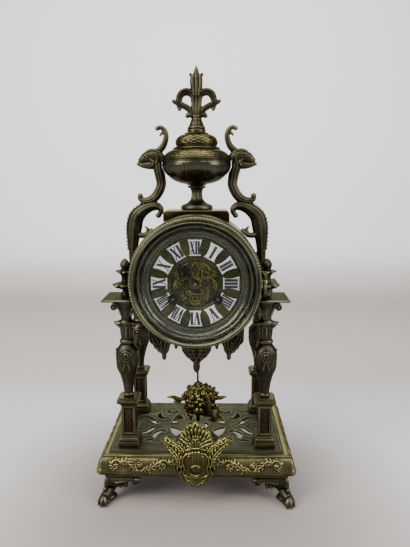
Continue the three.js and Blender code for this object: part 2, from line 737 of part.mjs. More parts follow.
// A pierced spade hand that points up, turned to its angle about the dial's centre
function handShape(reach, width, bore) {
  const shape = new THREE.Shape();
  const hub = bore + 1.8;
  const neck = 0.7;
  shape.absarc(0, 0, hub, Math.PI / 2 + 0.25, Math.PI / 2 - 0.25 + 2 * Math.PI, false);
  shape.lineTo(neck, reach * 0.52);
  shape.lineTo(width, reach * 0.66);
  shape.lineTo(neck, reach * 0.8);
  shape.lineTo(0.35, reach);
  shape.lineTo(-0.35, reach);
  shape.lineTo(-neck, reach * 0.8);
  shape.lineTo(-width, reach * 0.66);
  shape.lineTo(-neck, reach * 0.52);
  const eye = width * 0.5;
  shape.holes.push(new THREE.Path([
    new THREE.Vector2(0, reach * 0.58), new THREE.Vector2(eye, reach * 0.66),
    new THREE.Vector2(0, reach * 0.74), new THREE.Vector2(-eye, reach * 0.66),
  ]));
  return shape;
}

function hand(reach, width, bore, angle, back) {
  return new THREE.ExtrudeGeometry(handShape(reach, width, bore), {
    depth: HAND_THICK, bevelEnabled: false, curveSegments: 5,
  }).rotateX(Math.PI / 2).rotateY(THREE.MathUtils.degToRad(angle)).translate(0, back, DRUM_Z);
}

function minuteHand() {
  const blade = hand(MINUTE_REACH, 2.6, CENTRE_ARBOR, MINUTE_ANGLE, MINUTE_BACK);
  const boss = rodY(CENTRE_ARBOR + 1.2, 0, MINUTE_BACK - HAND_THICK - 0.9, MINUTE_BACK - 0.1, DRUM_Z);
  const arbor = rodY(
    CENTRE_ARBOR, 0, MINUTE_BACK - 0.3, MOVEMENT_BACK - MOVEMENT_PLATE - SEAT, DRUM_Z, 10,
  );
  return join(blade, boss, arbor);
}

function hourHand() {
  const blade = hand(HOUR_REACH, 3.4, HOUR_PIPE, HOUR_ANGLE, HOUR_BACK);
  const pipe = rodY(HOUR_PIPE, 0, HOUR_BACK - HAND_THICK, MOVEMENT_FRONT - SEAT, DRUM_Z);
  const bore = rodY(CENTRE_ARBOR + RUN, 0, HOUR_BACK - 5, MOVEMENT_FRONT + 5, DRUM_Z);
  return cut(join(blade, pipe), bore);
}

// Winding arbor with a square end inside the dial's hole
function windingArbor(side) {
  const x = side * WINDING_X;
  const z = DRUM_Z - WINDING_DROP;
  const square = box(x - 1.4, x + 1.4, DIAL_FACE - 0.5, MOVEMENT_FRONT - 1, z - 1.4, z + 1.4);
  const shaft = rodY(WINDING_ARBOR, x, MOVEMENT_FRONT - 1.2, MOVEMENT_BACK - MOVEMENT_PLATE - SEAT, z, 8);
  return join(square, shaft);
}

// Spring barrel with its great wheel
function barrel(side) {
  const x = side * WINDING_X;
  const z = DRUM_Z - WINDING_DROP;
  const y0 = FRONT_PLATE_INSIDE + 4;
  const outline = [];
  for (let i = 0; i < BARREL_TEETH; i += 1) {
    const base = (2 * Math.PI * i) / BARREL_TEETH;
    const tip = base + Math.PI / BARREL_TEETH;
    outline.push(new THREE.Vector2(BARREL_RADIUS * Math.cos(base), BARREL_RADIUS * Math.sin(base)));
    outline.push(new THREE.Vector2(
      (BARREL_RADIUS + BARREL_TOOTH) * Math.cos(tip), (BARREL_RADIUS + BARREL_TOOTH) * Math.sin(tip),
    ));
  }
  const wheel = new THREE.ExtrudeGeometry(new THREE.Shape(outline), { depth: 3, bevelEnabled: false })
    .rotateX(-Math.PI / 2).translate(x, y0 + 0.2, z);
  const body = rodY(BARREL_RADIUS - 0.8, x, y0, y0 + BARREL_LENGTH, z, 12);
  const bore = rodY(WINDING_ARBOR + RUN, x, y0 - 1, y0 + BARREL_LENGTH + 1, z, 8);
  return cut(join(wheel, body), bore);
}

// Movement frame: two plates and four pillars, the pendulum cock and the bell stand
function movementFrame() {
  const z = DRUM_Z;
  const frontInner = FRONT_PLATE_INSIDE;
  const backInner = BACK_PLATE_INSIDE;
  const plates = [
    rodY(MOVEMENT_RADIUS, 0, MOVEMENT_FRONT, frontInner, z, 16),
    rodY(MOVEMENT_RADIUS, 0, backInner, MOVEMENT_BACK, z, 16),
  ];
  const spacers = [[1, 0], [-1, 0], [0, 1], [0, -1]].map(([cx, cz]) => rodY(
    SPACER_RADIUS, cx * SPACER_CIRCLE, frontInner - 0.5, backInner + 0.5, z + cz * SPACER_CIRCLE, 6,
  ));
  const cockLow = PIVOT_Z + 2.5;
  const cock = box(-4, 4, MOVEMENT_BACK - 0.5, 3.5, cockLow, cockLow + 5);
  const standX = 18;
  const standZ = z - 26;
  const armY = BELL_MOUTH - 2;
  const arm = 1.4;
  const stand = [
    rodY(BELL_POST, standX, MOVEMENT_BACK - 0.5, armY + arm, standZ, 6),
    limb([[standX, armY, standZ, BELL_POST, arm], [0, armY, z, BELL_POST, arm]], ACROSS_Y, 6, 1),
    rodY(BELL_POST, 0, armY - arm, BELL_MOUTH + BELL_DEPTH + BELL_CLEAR / 2, z),
  ];
  const holes = [
    rodY(HOUR_PIPE + RUN, 0, MOVEMENT_FRONT - 1, frontInner + 1, z),
    rodY(ARBOR_RADIUS + RUN, 0, backInner - 1, MOVEMENT_BACK + 1, PIVOT_Z, 8),
    rodY(ARBOR_RADIUS + RUN, HAMMER_X, backInner - 1, MOVEMENT_BACK + 1, z + HAMMER_RISE, 8),
    ...windingHoles(WINDING_ARBOR + RUN, MOVEMENT_FRONT - 1, frontInner + 1),
  ];
  return cut(join(...plates, ...spacers, cock, ...stand), ...holes);
}

// Bell behind the movement, its mouth towards the back plate
function bell() {
  const r = BELL_RADIUS;
  const y0 = BELL_MOUTH;
  const y1 = BELL_MOUTH + BELL_DEPTH;
  const hole = BELL_POST + SEAT;
  return facingRing([
    [hole, y1], [r * 0.5, y1 - 1.2], [r * 0.84, y1 - 7], [r, y0], [r - 1.8, y0],
    [r * 0.84 - 1.6, y1 - 8.2], [r * 0.5 - 0.6, y1 - 3], [hole, y1 - 1.8],
  ], 12).translate(0, 0, DRUM_Z);
}

// Hammer that strikes the bell's rim from the side
function bellHammer() {
  const pivotZ = DRUM_Z + HAMMER_RISE;
  const headHalf = 2.5;
  const headY = BELL_MOUTH + headHalf;
  const head = HAMMER_HEAD;
  const drop = 19;
  const headX = -(Math.sqrt((BELL_RADIUS + head + RUN) ** 2 - (HAMMER_RISE - drop) ** 2));
  const armY = MOVEMENT_BACK + 5.5;
  const arbor = rodY(ARBOR_RADIUS, HAMMER_X, FRONT_PLATE_INSIDE + SEAT, armY + 1.5, pivotZ);
  const arm = limb([
    [HAMMER_X, armY, pivotZ, 1.6, 1.6], [headX - 1, armY + 4.5, pivotZ - drop / 2, 1.3, 1.3],
    [headX, headY, pivotZ - drop, 1.5, 1.5],
  ], new THREE.Vector3(1, 0, 0), 5, 2);
  const ball = rodY(head, headX, headY - headHalf, headY + headHalf, pivotZ - drop, 10);
  return join(arbor, arm, ball);
}

// Anchor arbor with its crutch, whose fork holds the pendulum rod
function crutch() {
  const z = PIVOT_Z;
  const forkZ = z - FORK_DROP;
  const armY = MOVEMENT_BACK + 4;
  const arbor = rodY(ARBOR_RADIUS, 0, FRONT_PLATE_INSIDE + SEAT, armY + 1, z);
  const anchor = casting(
    mirrored([[0, 2.4], [6, 0.6], [11, -5], [9.4, -5.6], [5, -1.6], [0, -2.2]]),
    BACK_PLATE_INSIDE - 6, 2,
  ).translate(0, 0, z);
  const arm = box(-1.2, 1.2, armY - 1, armY + 1, forkZ - 1.5, z);
  const gap = ROD_RADIUS + RUN;
  const bridge = box(-gap - 1.6, gap + 1.6, armY - 1, armY + 1, forkZ - 1.5, forkZ + 1.5);
  const prongs = [-1, 1].map((side) => box(
    Math.min(side * gap, side * (gap + 1.6)), Math.max(side * gap, side * (gap + 1.6)),
    armY - 0.5, 3, forkZ - 1.5, forkZ + 1.5,
  ));
  return join(arbor, anchor, arm, bridge, ...prongs);
}

// Pendulum rod with its suspension block and a nut under the bob
function pendulumRod() {
  const low = BOB_Z - BOB_RADIUS * 0.82;
  const rod = rodZ(ROD_RADIUS, 0, 0, low, PIVOT_Z - 12, 8);
  const hook = box(-2.4, 2.4, -1.6, 1.6, PIVOT_Z - 16, PIVOT_Z - 11);
  const spring = box(-2, 2, -0.4, 0.4, PIVOT_Z - 12, PIVOT_Z + 1);
  const chops = box(-2.6, 2.6, -2, 2, PIVOT_Z - 1, PIVOT_Z + 2);
  const nut = rodZ(3, 0, 0, low, low + 2.4, 8);
  return join(rod, hook, spring, chops, nut);
}

// Bob: a leafy rosette with crossed tips, bored for the rod
function pendulumBob() {
  const petals = 9;
  const outline = [];
  for (let i = 0; i < petals * 2; i += 1) {
    const angle = (Math.PI * i) / petals;
    const r = BOB_RADIUS * (i % 2 === 0 ? 0.9 : 1);
    outline.push([r * Math.sin(angle), r * Math.cos(angle)]);
  }
  const half = BOB_DEPTH / 2;
  const disc = casting(outline, half, BOB_DEPTH);
  const heart = ellipsoid(BOB_RADIUS * 0.7, half + 6, BOB_RADIUS * 0.7, 0, -1, 0, 8, 4);
  const left = scroll([[-18, 3, 3], [-26, 2, 2.4], [-31, 4, 2.8], [-36.5, 2.6, 0.8]], 2.4, 5, 1);
  const right = scroll([[18, 3, 3], [26, 4, 2.4], [33.5, 5, 0.8]], 2.4, 5, 1);
  const curl = scroll([[10, -12, 4], [17, -14, 4], [20, -19, 2.6], [16, -23.5, 1]], 3, 5, 1)
    .translate(0, -4, 0);
  const bore = rodZ(ROD_RADIUS + SEAT, 0, 0, -2 * BOB_RADIUS, 2 * BOB_RADIUS, 8);
  const pocket = rodZ(3 + SEAT, 0, 0, -2 * BOB_RADIUS, -BOB_RADIUS * 0.82 + 2.4 + SEAT, 8);
  return cut(join(disc, heart, left, right, curl), bore, pocket).translate(0, 0, BOB_Z);
}

// Rear door with a turned rim, hinged on its right, and the pull knob opposite
function rearDoor() {
  const back = DRUM_BACK + SEAT;
  const r = DOOR_RADIUS;
  const panel = facing([
    [r, back], [r, back + DOOR_THICK], [r - 3, back + DOOR_THICK + 0.8], [r - 5, back + DOOR_THICK],
  ], 16).translate(0, 0, DRUM_Z);
  const knob = facing([
    [1.6, back + 1], [1.6, back + 4.5], [3, back + 5.5], [3, back + 7.5],
  ], 8).translate(-(r - 8), 0, DRUM_Z);
  const z0 = DRUM_Z - DOOR_KNUCKLE_HALF;
  const z1 = DRUM_Z + DOOR_KNUCKLE_HALF;
  const knuckle = rodZ(DOOR_KNUCKLE, DOOR_HINGE_X, DOOR_HINGE_Y, z0, z1);
  const leaf = box(r - 3, DOOR_HINGE_X, back + 0.2, back + DOOR_THICK, z0, z1);
  const bore = rodZ(DOOR_PIN_RADIUS + RUN, DOOR_HINGE_X, DOOR_HINGE_Y, z0 - 1, z1 + 1);
  return cut(join(panel, knob, knuckle, leaf), bore);
}

// Fixed hinge lugs and pin of the rear door, cast with the drum's back
function doorLugs() {
  const lugs = hingeEnds(DOOR_KNUCKLE_HALF, DOOR_HINGE_HALF).map(([z0, z1]) => join(
    rodZ(DOOR_KNUCKLE, DOOR_HINGE_X, DOOR_HINGE_Y, z0, z1),
    box(DOOR_HINGE_X - 0.8, DOOR_HINGE_X + DOOR_KNUCKLE, DRUM_BACK - 1, DOOR_HINGE_Y, z0, z1),
  ));
  const reach = DOOR_HINGE_HALF - 1;
  const pin = rodZ(DOOR_PIN_RADIUS, DOOR_HINGE_X, DOOR_HINGE_Y, DRUM_Z - reach, DRUM_Z + reach);
  return join(...lugs, pin);
}

// Urn plinth: a rounded block that saddles the drum
function urnPlinth() {
  const x = PLINTH_HALF_X;
  const low = PLINTH_TOP - PLINTH_SIDE;
  const r = 5;
  const shape = new THREE.Shape();
  shape.moveTo(-x, low);
  shape.lineTo(x, low);
  shape.lineTo(x, PLINTH_TOP - r);
  shape.absarc(x - r, PLINTH_TOP - r, r, 0, Math.PI / 2, false);
  shape.absarc(-x + r, PLINTH_TOP - r, r, Math.PI / 2, Math.PI, false);
  const block = new THREE.ExtrudeGeometry(shape, {
    depth: 2 * PLINTH_HALF_Y, bevelEnabled: false, curveSegments: 4,
  }).rotateX(Math.PI / 2).translate(0, PLINTH_HALF_Y, 0);
  return cut(block, drumSpace(SEAT));
}

function urnFoot() {
  const r = URN_FOOT_RADIUS;
  const h = URN_FOOT_HEIGHT;
  return turned([
    [r, 0], [r, h * 0.12], [r * 0.75, h * 0.21], [r * 0.49, h * 0.35], [r * 0.37, h * 0.55],
    [r * 0.37, h * 0.81], [r * 0.6, h * 0.92], [r * 0.6, h],
  ], 12).translate(0, 0, URN_Z);
}

// Gadrooned lower half of the urn, spun hollow
function urnBowl() {
  const r = BOWL_RADIUS;
  const h = BOWL_HEIGHT;
  const outer = [
    [0, 0], [r * 0.38, h * 0.016], [r * 0.645, h * 0.16], [r * 0.847, h * 0.38], [r * 0.957, h * 0.6],
    [r, h * 0.8], [r, h],
  ];
  const inside = r - URN_WALL;
  const inner = [
    [inside, h], [inside, h * 0.78], [inside * 0.86, h * 0.46], [inside * 0.6, h * 0.24],
    [0, h * 0.016 + URN_WALL],
  ];
  return lobed(turnedShell([...outer, ...inner], 20), 10, BOWL_GADROON, h * 0.08, h * 0.64)
    .translate(0, 0, BOWL_Z);
}

// Shoulder and lid of the urn, spun hollow
function urnLid() {
  const r = BOWL_RADIUS;
  const h = LID_HEIGHT;
  return turnedShell([
    [r - URN_WALL, 0], [r, 0], [r * 0.985, h * 0.065], [r * 0.89, h * 0.21], [r * 0.73, h * 0.345],
    [r * 0.635, h * 0.44], [r * 0.57, h * 0.515], [r * 0.56, h * 0.72],
    [r * 0.43, h * 0.91], [LID_NECK, h],
    [0, h], [0, h * 0.84], [r * 0.47, h * 0.7], [r * 0.5, h * 0.44], [r - URN_WALL, 0],
  ], 20).translate(0, 0, LID_Z);
}

// Fleuron on the lid: a central spear, two arching arms with their returns, and horns
function urnFinial() {
  const d = FLEUR_HALF_DEPTH;
  const base = turned([[LID_NECK, 0], [8.6, 3], [5.4, 7], [4.4, 12]], 8);
  const spear = scroll([
    [0, 8, 4.6, 4.2], [0, 24, 4.2, 3.6], [0, 42, 5.4, 3.8], [0, 51, 6, 3.8], [0, 57, 3.4, 2.8],
    [0, 66.4, 0.7, 0.7],
  ], d, 6, 1);
  const parts = [base, spear];
  for (const side of [-1, 1]) {
    const s = (points) => points.map(([x, z, w]) => [side * x, z, w]);
    parts.push(scroll(s([
      [2, 36, 4.4], [8.4, 41, 3.6], [15, 39.8, 3.9], [18.9, 34.2, 3.8], [20, 26.5, 1.4],
    ]), d, 4, 1));
    parts.push(scroll(s([[20, 29.5, 2.6], [23.4, 30, 1.9], [25.6, 28.4, 0.9]]), d, 4, 1));
    parts.push(scroll(s([[20, 29, 2.8], [14, 25.2, 3.2], [8, 22, 3.2], [2, 17.4, 3.4]]), d, 4, 1));
    parts.push(scroll(s([[2, 16.4, 3], [8, 16, 2.7], [11, 13.6, 1.2]]), d, 4, 1));
    parts.push(scroll(s([[2, 52, 3], [5, 56.6, 2], [7, 59, 0.8]]), d, 4, 1));
  }
  return join(...parts).translate(0, 0, FLEUR_Z);
}

// Points given as [x, z, ...] from the rim of the urn's bowl, on the right
function fromRim(points) {
  return points.map(([x, z, ...size]) => [BOWL_RADIUS + x, LID_Z + z, ...size]);
}

// Points given as [x, z, ...] from the drum's flank, on the right
function fromFlank(points) {
  return points.map(([x, z, ...size]) => [DRUM_RADIUS + x, DRUM_Z + z, ...size]);
}

// Beast-headed scroll bracket for the right side, from the drum up to the urn's lid
function scrollBracket() {
  const d = BRACKET_DEPTH;
  const crest = scroll(fromRim([
    [5.4, 34.4, 1.4], [2.4, 35.8, 2.9], [-3.2, 31.4, 2.5], [-4.4, 25, 2.9], [-2.8, 18.6, 3.3],
    [2.6, 11.4, 3.8], [8.6, 6.6, 3.6],
  ]), 2.6, 4, 1);
  const head = scroll(fromRim([
    [0.8, 3.1, 5.4, 4.6], [6.8, 5.8, 6.8, 5.6], [13.3, 5.2, 7, 5.6], [18.8, 3.2, 5.6, 4.8],
    [23.4, 0, 3.4, 3], [26.8, -1.8, 1.2, 1.2],
  ]), d, 6, 1);
  const jaw = scroll(fromRim([[8.6, -4.6, 5.4], [16.4, -5.2, 3], [22.8, -3.4, 1.3]]), 3, 4, 1);
  const neck = scroll([
    ...fromRim([[6.4, 1.6, 6.6], [3.8, -11.4, 5.8], [2.2, -24.8, 5.2]]),
    ...fromFlank([
      [-24.6, 87.4, 5.2], [-19, 80.8, 4.6], [-12, 79, 3.2], [-6.4, 80.4, 2.6], [-4.4, 83.6, 2.9],
      [-5.4, 86.4, 1.2],
    ]),
  ], d, 5, 1);
  const loop = scroll(fromFlank([
    [-24, 63.4, 1.4], [-26.4, 62.4, 3.2], [-28.6, 66.6, 2.6], [-26.8, 72, 3.4], [-21, 74.6, 4.4],
    [-14, 73.6, 5.2], [-6, 69.8, 6.4], [1.2, 62, 7.6], [3.5, 50, 8], [4.6, 37, 5.2], [4.2, 26, 4.8],
    [4.2, 10, 4.3], [4.4, -2.6, 2], [4, -6, 0.9],
  ]), d, 5, 1);
  const strut = scroll(fromFlank([[3, 43, 5], [-5, 41.4, 3.4], [-11, 42.6, 3.4], [-17, 46, 4]]), d, 5, 1);
  const tendril = scroll(fromFlank([[-12, 43.4, 2.6], [-12.4, 48.4, 1.8], [-10, 51, 1]]), 3, 4, 1);
  const whole = join(crest, head, jaw, neck, loop, strut, tendril);
  return cut(whole, drumSpace(SEAT), urnSpace(SEAT));
}

// Strapwork cartouche on the front of the base: shield, wings, palmette and a round hole
function frontCartouche() {
  const y = -BASE_HALF_Y - SEAT;
  const z = BASE_BOTTOM;
  const front = y - CARTOUCHE_THICK;
  const relief = CARTOUCHE_RELIEF;
  const field = casting(mirrored([
    [0, 67.6], [7, 66], [13, 61], [17, 53], [17.5, 45], [23, 46.5], [30, 49], [33.8, 45],
    [30, 40], [25.5, 34], [23, 27], [18.5, 21], [16, 15], [18, 9.5], [13, 3.4], [7, -2],
    [0, -5.7],
  ]), y, CARTOUCHE_THICK);
  const shield = casting(mirrored([
    [0, 36], [9, 33], [13, 25], [12.6, 14], [9.4, 5], [4, 0], [0, -2.4],
  ]), front + 0.2, relief * 0.6 + 0.2);
  const palmette = [-56, -28, 0, 28, 56].map((degrees) => {
    const angle = THREE.MathUtils.degToRad(degrees);
    const reach = degrees === 0 ? 27 : 21;
    return limb([
      [0, front, 37, 2.6, 2.4],
      [0.5 * reach * Math.sin(angle), front, 37 + 0.5 * reach * Math.cos(angle), 3.4, relief],
      [reach * Math.sin(angle), front, 37 + reach * Math.cos(angle), 1.4, 1.4],
    ], ACROSS_Y, 4, 1);
  });
  const wings = [-1, 1].map((side) => limb([
    [side * 12, front, 26, 2.6, 2.4], [side * 19, front, 32, 3, relief],
    [side * 25, front, 40, 3, relief], [side * 31, front, 44.6, 2, 1.6],
  ], ACROSS_Y, 4, 1));
  const hole = rodY(CARTOUCHE_HOLE, 0, front - 8, y + 2, 15, 12);
  return cut(join(field, shield, ...palmette, ...wings), hole).translate(0, 0, z);
}

// Build order, from the floor up
for (const [corner, signX, signY] of CORNERS) pillarAndFoot(corner, signX, signY);
place('base_frame', baseFrame(), GILT);
place('base_plate', basePlate(), OLIVE_BRASS);
place('front_cartouche', frontCartouche(), GILT);
place('drum_case', join(drumCase(), doorLugs()), OLIVE_BRASS);
place('drum_apron', drumApron(), DARK_BRASS);
place('bezel_ring', bezelRing(), OLIVE_BRASS);
place('bezel_glass', bezelGlass(), GLASS);
place('dial_plate', dialPlate(), BRIGHT_BRASS);
for (let i = 0; i < NUMERAL_COUNT; i += 1) {
  const hour = i === 0 ? NUMERAL_COUNT : i;
  place(`numeral_plate_${String(hour).padStart(2, '0')}`, numeralPlate(i), ENAMEL);
}
place('minute_hand', minuteHand(), STEEL);
place('hour_hand', hourHand(), STEEL);
place('winding_arbor_left', windingArbor(-1), STEEL);
place('winding_arbor_right', windingArbor(1), STEEL);
place('strike_barrel', barrel(-1), BRIGHT_BRASS);
place('going_barrel', barrel(1), BRIGHT_BRASS);
place('movement_frame', movementFrame(), BRIGHT_BRASS);
place('bell', bell(), BRIGHT_BRASS);
place('bell_hammer', bellHammer(), STEEL);
place('anchor_crutch', crutch(), STEEL);
place('pendulum_rod', pendulumRod(), STEEL);
place('pendulum_bob', pendulumBob(), GILT);
place('rear_door', rearDoor(), BRIGHT_BRASS);
place('urn_plinth', urnPlinth(), OLIVE_BRASS);
place('urn_foot', urnFoot(), DARK_BRASS);
place('urn_bowl', urnBowl(), DARK_BRASS);
place('urn_lid', urnLid(), DARK_BRASS);
place('urn_finial', urnFinial(), DARK_BRASS);
place('scroll_bracket_right', scrollBracket(), DARK_BRASS);
place('scroll_bracket_left', scrollBracket(), DARK_BRASS).scale.set(-1, 1, 1);

// The cartouche stands proud in front, so the group moves back to centre the footprint
clock.updateMatrixWorld(true);
const bounds = new THREE.Box3().setFromObject(clock);
clock.position.y = -(bounds.min.y + bounds.max.y) / 2;
clock.updateMatrixWorld(true);

export default clock;
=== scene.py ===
"""Looks of the brass mantel clock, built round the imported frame.

Shapes are written in millimetres in the clock's own plan, where y = 0 is the plane of the
pendulum, and moved to the frame's metres when a piece is made.
"""

import json
import math

import bpy
import numpy as np
from mathutils import Matrix, Vector

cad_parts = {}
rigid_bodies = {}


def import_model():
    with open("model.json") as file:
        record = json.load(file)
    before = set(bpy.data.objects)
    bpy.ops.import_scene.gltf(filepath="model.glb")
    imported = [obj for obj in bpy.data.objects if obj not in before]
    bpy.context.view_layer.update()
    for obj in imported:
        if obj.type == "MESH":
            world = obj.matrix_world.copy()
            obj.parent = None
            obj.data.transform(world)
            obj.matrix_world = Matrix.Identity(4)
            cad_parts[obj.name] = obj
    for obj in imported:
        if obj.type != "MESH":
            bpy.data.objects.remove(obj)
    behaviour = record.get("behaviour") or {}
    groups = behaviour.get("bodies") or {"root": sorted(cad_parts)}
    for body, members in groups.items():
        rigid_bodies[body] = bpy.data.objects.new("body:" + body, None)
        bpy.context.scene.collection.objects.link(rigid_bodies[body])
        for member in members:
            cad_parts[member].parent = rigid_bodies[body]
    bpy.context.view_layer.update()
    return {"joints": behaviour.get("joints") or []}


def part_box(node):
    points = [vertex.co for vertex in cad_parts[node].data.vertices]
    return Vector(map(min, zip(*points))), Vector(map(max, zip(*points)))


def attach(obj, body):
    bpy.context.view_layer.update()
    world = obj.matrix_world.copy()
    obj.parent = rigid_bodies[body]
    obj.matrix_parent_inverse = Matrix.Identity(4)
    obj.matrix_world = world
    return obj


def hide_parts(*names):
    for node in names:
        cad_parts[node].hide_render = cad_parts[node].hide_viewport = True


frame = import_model()

MM = 0.001
CORNERS = {
    "front_left": (-1, -1), "front_right": (1, -1), "back_left": (-1, 1), "back_right": (1, 1),
}


# Places taken from the frame, in millimetres in the clock's plan
def node_box(node):
    """Low and high corner of a node's box."""
    low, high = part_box(node)
    return np.array(low) / MM - OFFSET, np.array(high) / MM - OFFSET


# The plane of the pendulum runs through the middle of the base
OFFSET = np.zeros(3)
BASE_LOW, BASE_HIGH = node_box("base_frame")
OFFSET = np.array([0, (BASE_LOW[1] + BASE_HIGH[1]) / 2, 0])
BASE_LOW, BASE_HIGH = node_box("base_frame")
BASE_HALF_X, BASE_HALF_Y = BASE_HIGH[0], BASE_HIGH[1]
BASE_BOTTOM = BASE_LOW[2]
PLATE_LOW, PLATE_HIGH = node_box("base_plate")
DRUM_LOW, DRUM_HIGH = node_box("drum_case")
BEZEL_LOW, BEZEL_HIGH = node_box("bezel_ring")
DRUM_RADIUS = -DRUM_LOW[0]
DRUM_Z = (DRUM_LOW[2] + DRUM_HIGH[2]) / 2
DRUM_FRONT = BEZEL_HIGH[1] + 0.3
DRUM_BACK = node_box("rear_door")[0][1] - 0.3
BEZEL_RADIUS = -BEZEL_LOW[0]
BEZEL_FRONT = BEZEL_LOW[1]
BEZEL_BACK = BEZEL_HIGH[1]
PEDESTAL_LOW, PEDESTAL_HIGH = node_box("pedestal_front_right")
PILLAR_X = (PEDESTAL_LOW[0] + PEDESTAL_HIGH[0]) / 2
PILLAR_Y = -(PEDESTAL_LOW[1] + PEDESTAL_HIGH[1]) / 2
COLUMN_LOW, COLUMN_HIGH = node_box("column_front_right")
FINIAL_LOW, FINIAL_HIGH = node_box("plate_finial_front_right")
PLINTH_LOW, PLINTH_HIGH = node_box("urn_plinth")
URN_FOOT_LOW, URN_FOOT_HIGH = node_box("urn_foot")
BOWL_LOW, BOWL_HIGH = node_box("urn_bowl")
LID_LOW, LID_HIGH = node_box("urn_lid")
FLEUR_LOW, FLEUR_HIGH = node_box("urn_finial")
ROD_LOW, ROD_HIGH = node_box("pendulum_rod")
BOB_LOW, BOB_HIGH = node_box("pendulum_bob")


# Curves
def spline(points, per_span):
    """Catmull-Rom curve through rows of any width."""
    p = np.asarray(points, float)
    ends = np.vstack([2 * p[0] - p[1], p, 2 * p[-1] - p[-2]])
    t = (np.arange(per_span) / per_span)[:, None]
    spans = []
    for a, b, c, d in zip(ends, ends[1:], ends[2:], ends[3:]):
        spans.append(0.5 * (2 * b + (c - a) * t + (2 * a - 5 * b + 4 * c - d) * t**2
                            + (3 * b - a - 3 * c + d) * t**3))
    return np.vstack(spans + [p[-1:]])


def steps(*points):
    """Outline of straight and curved stretches: a None starts a new smooth stretch."""
    stretches, current = [], []
    for point in points:
        if point is None:
            stretches.append(current)
            current = [current[-1]]
        else:
            current.append(point)
    stretches.append(current)
    return np.vstack([spline(s, 6) if len(s) > 2 else np.asarray(s, float)
                      for s in stretches if len(s) > 1])


def spiral(cx, cz, r0, r1, a0, a1, steps=14):
    """Points of a spiral; angles are in degrees."""
    turn = np.radians(np.linspace(a0, a1, steps))
    radius = np.linspace(r0, r1, steps)
    return np.column_stack([cx + radius * np.cos(turn), cz + radius * np.sin(turn)])


def tapered(points, w0, w1, h0, h1=None, power=1.0):
    """A stroke along the points: x, z, half width, height."""
    p = np.asarray(points, float)
    t = np.linspace(0, 1, len(p)) ** power
    h1 = h0 if h1 is None else h1
    return np.column_stack([p, w0 + (w1 - w0) * t, h0 + (h1 - h0) * t])


# Meshes as (vertices in mm, faces)
def grid_faces(rows, columns, wrap_rows=False, wrap_columns=False):
    """Quads over a grid of points that are numbered row by row."""
    i = np.arange(rows if wrap_rows else rows - 1)
    j = np.arange(columns if wrap_columns else columns - 1)
    i, j = np.meshgrid(i, j, indexing="ij")
    i2, j2 = (i + 1) % rows, (j + 1) % columns
    quads = np.stack([i * columns + j, i2 * columns + j, i2 * columns + j2, i * columns + j2], -1)
    return quads.reshape(-1, 4)


def merged(*parts):
    """Several parts as one."""
    verts, faces, start = [], [], 0
    for v, f in parts:
        verts.append(np.asarray(v, float))
        faces += [[int(k) + start for k in face] for face in f]
        start += len(v)
    return np.vstack(verts), faces


def moved(part, by):
    """A part shifted by x, y, z."""
    return part[0] + np.asarray(by, float), part[1]


def flipped(faces):
    """The same faces, seen from the other side."""
    return [list(face)[::-1] for face in faces]


def mirrored(part, signs):
    """A copy mirrored by signs such as (-1, 1, 1), with its faces still pointing out."""
    verts = part[0] * np.asarray(signs, float)
    return (verts, flipped(part[1])) if np.prod(signs) < 0 else (verts, part[1])


def lathe(outline, segments=96, ripple=None, about="z"):
    """Turns an outline of (radius, height). ripple(turn, share, radius) adds to the radius."""
    outline = np.asarray(outline, float)
    turn = np.linspace(0, 2 * np.pi, segments, endpoint=False)
    share = np.linspace(0, 1, len(outline))
    T, V = np.meshgrid(turn, share, indexing="ij")
    R = np.broadcast_to(outline[:, 0], T.shape).copy()
    H = np.broadcast_to(outline[:, 1], T.shape)
    if ripple is not None:
        R += ripple(T, V, R)
    X, Y = R * np.cos(T), R * np.sin(T)
    xyz = np.stack([X, Y, H] if about == "z" else [X, H, -Y], -1).reshape(-1, 3)
    return xyz, grid_faces(segments, len(outline), wrap_rows=True).tolist()


def height_at(outline, share):
    """Height of the outline at a share of its points, which is what a ripple is given."""
    return np.interp(share, np.linspace(0, 1, len(outline)), outline[:, 1])


def between(z, low, fade_in, high, fade_out):
    """1 between two levels, with a slope inside each of them."""
    return np.clip((z - low) / fade_in, 0, 1) * np.clip((high - z) / fade_out, 0, 1)


def turned(outline, segments, ripple):
    """A solid of revolution: the outline's ends are joined to the axis."""
    outline = np.asarray(outline, float)
    count = len(outline)

    def shifted(T, V, R):
        return ripple(T, (V * (count + 1) - 1) / (count - 1), R) * (R > 0.02)

    ends = [[(0.01, outline[0, 1])], outline, [(0.01, outline[-1, 1])]]
    return lathe(np.vstack(ends), segments, shifted)


def ring(outline, segments):
    """A closed outline turned round the Y axis."""
    return lathe(np.vstack([outline, outline[:1]]), segments, about="y")


# Rings of a sweep's rounded end: how far out and how wide, as shares of the end's half width
CAP_RINGS = [(0.55, 0.55), (0.35, 0.85)]
CAP_TIP = 0.62


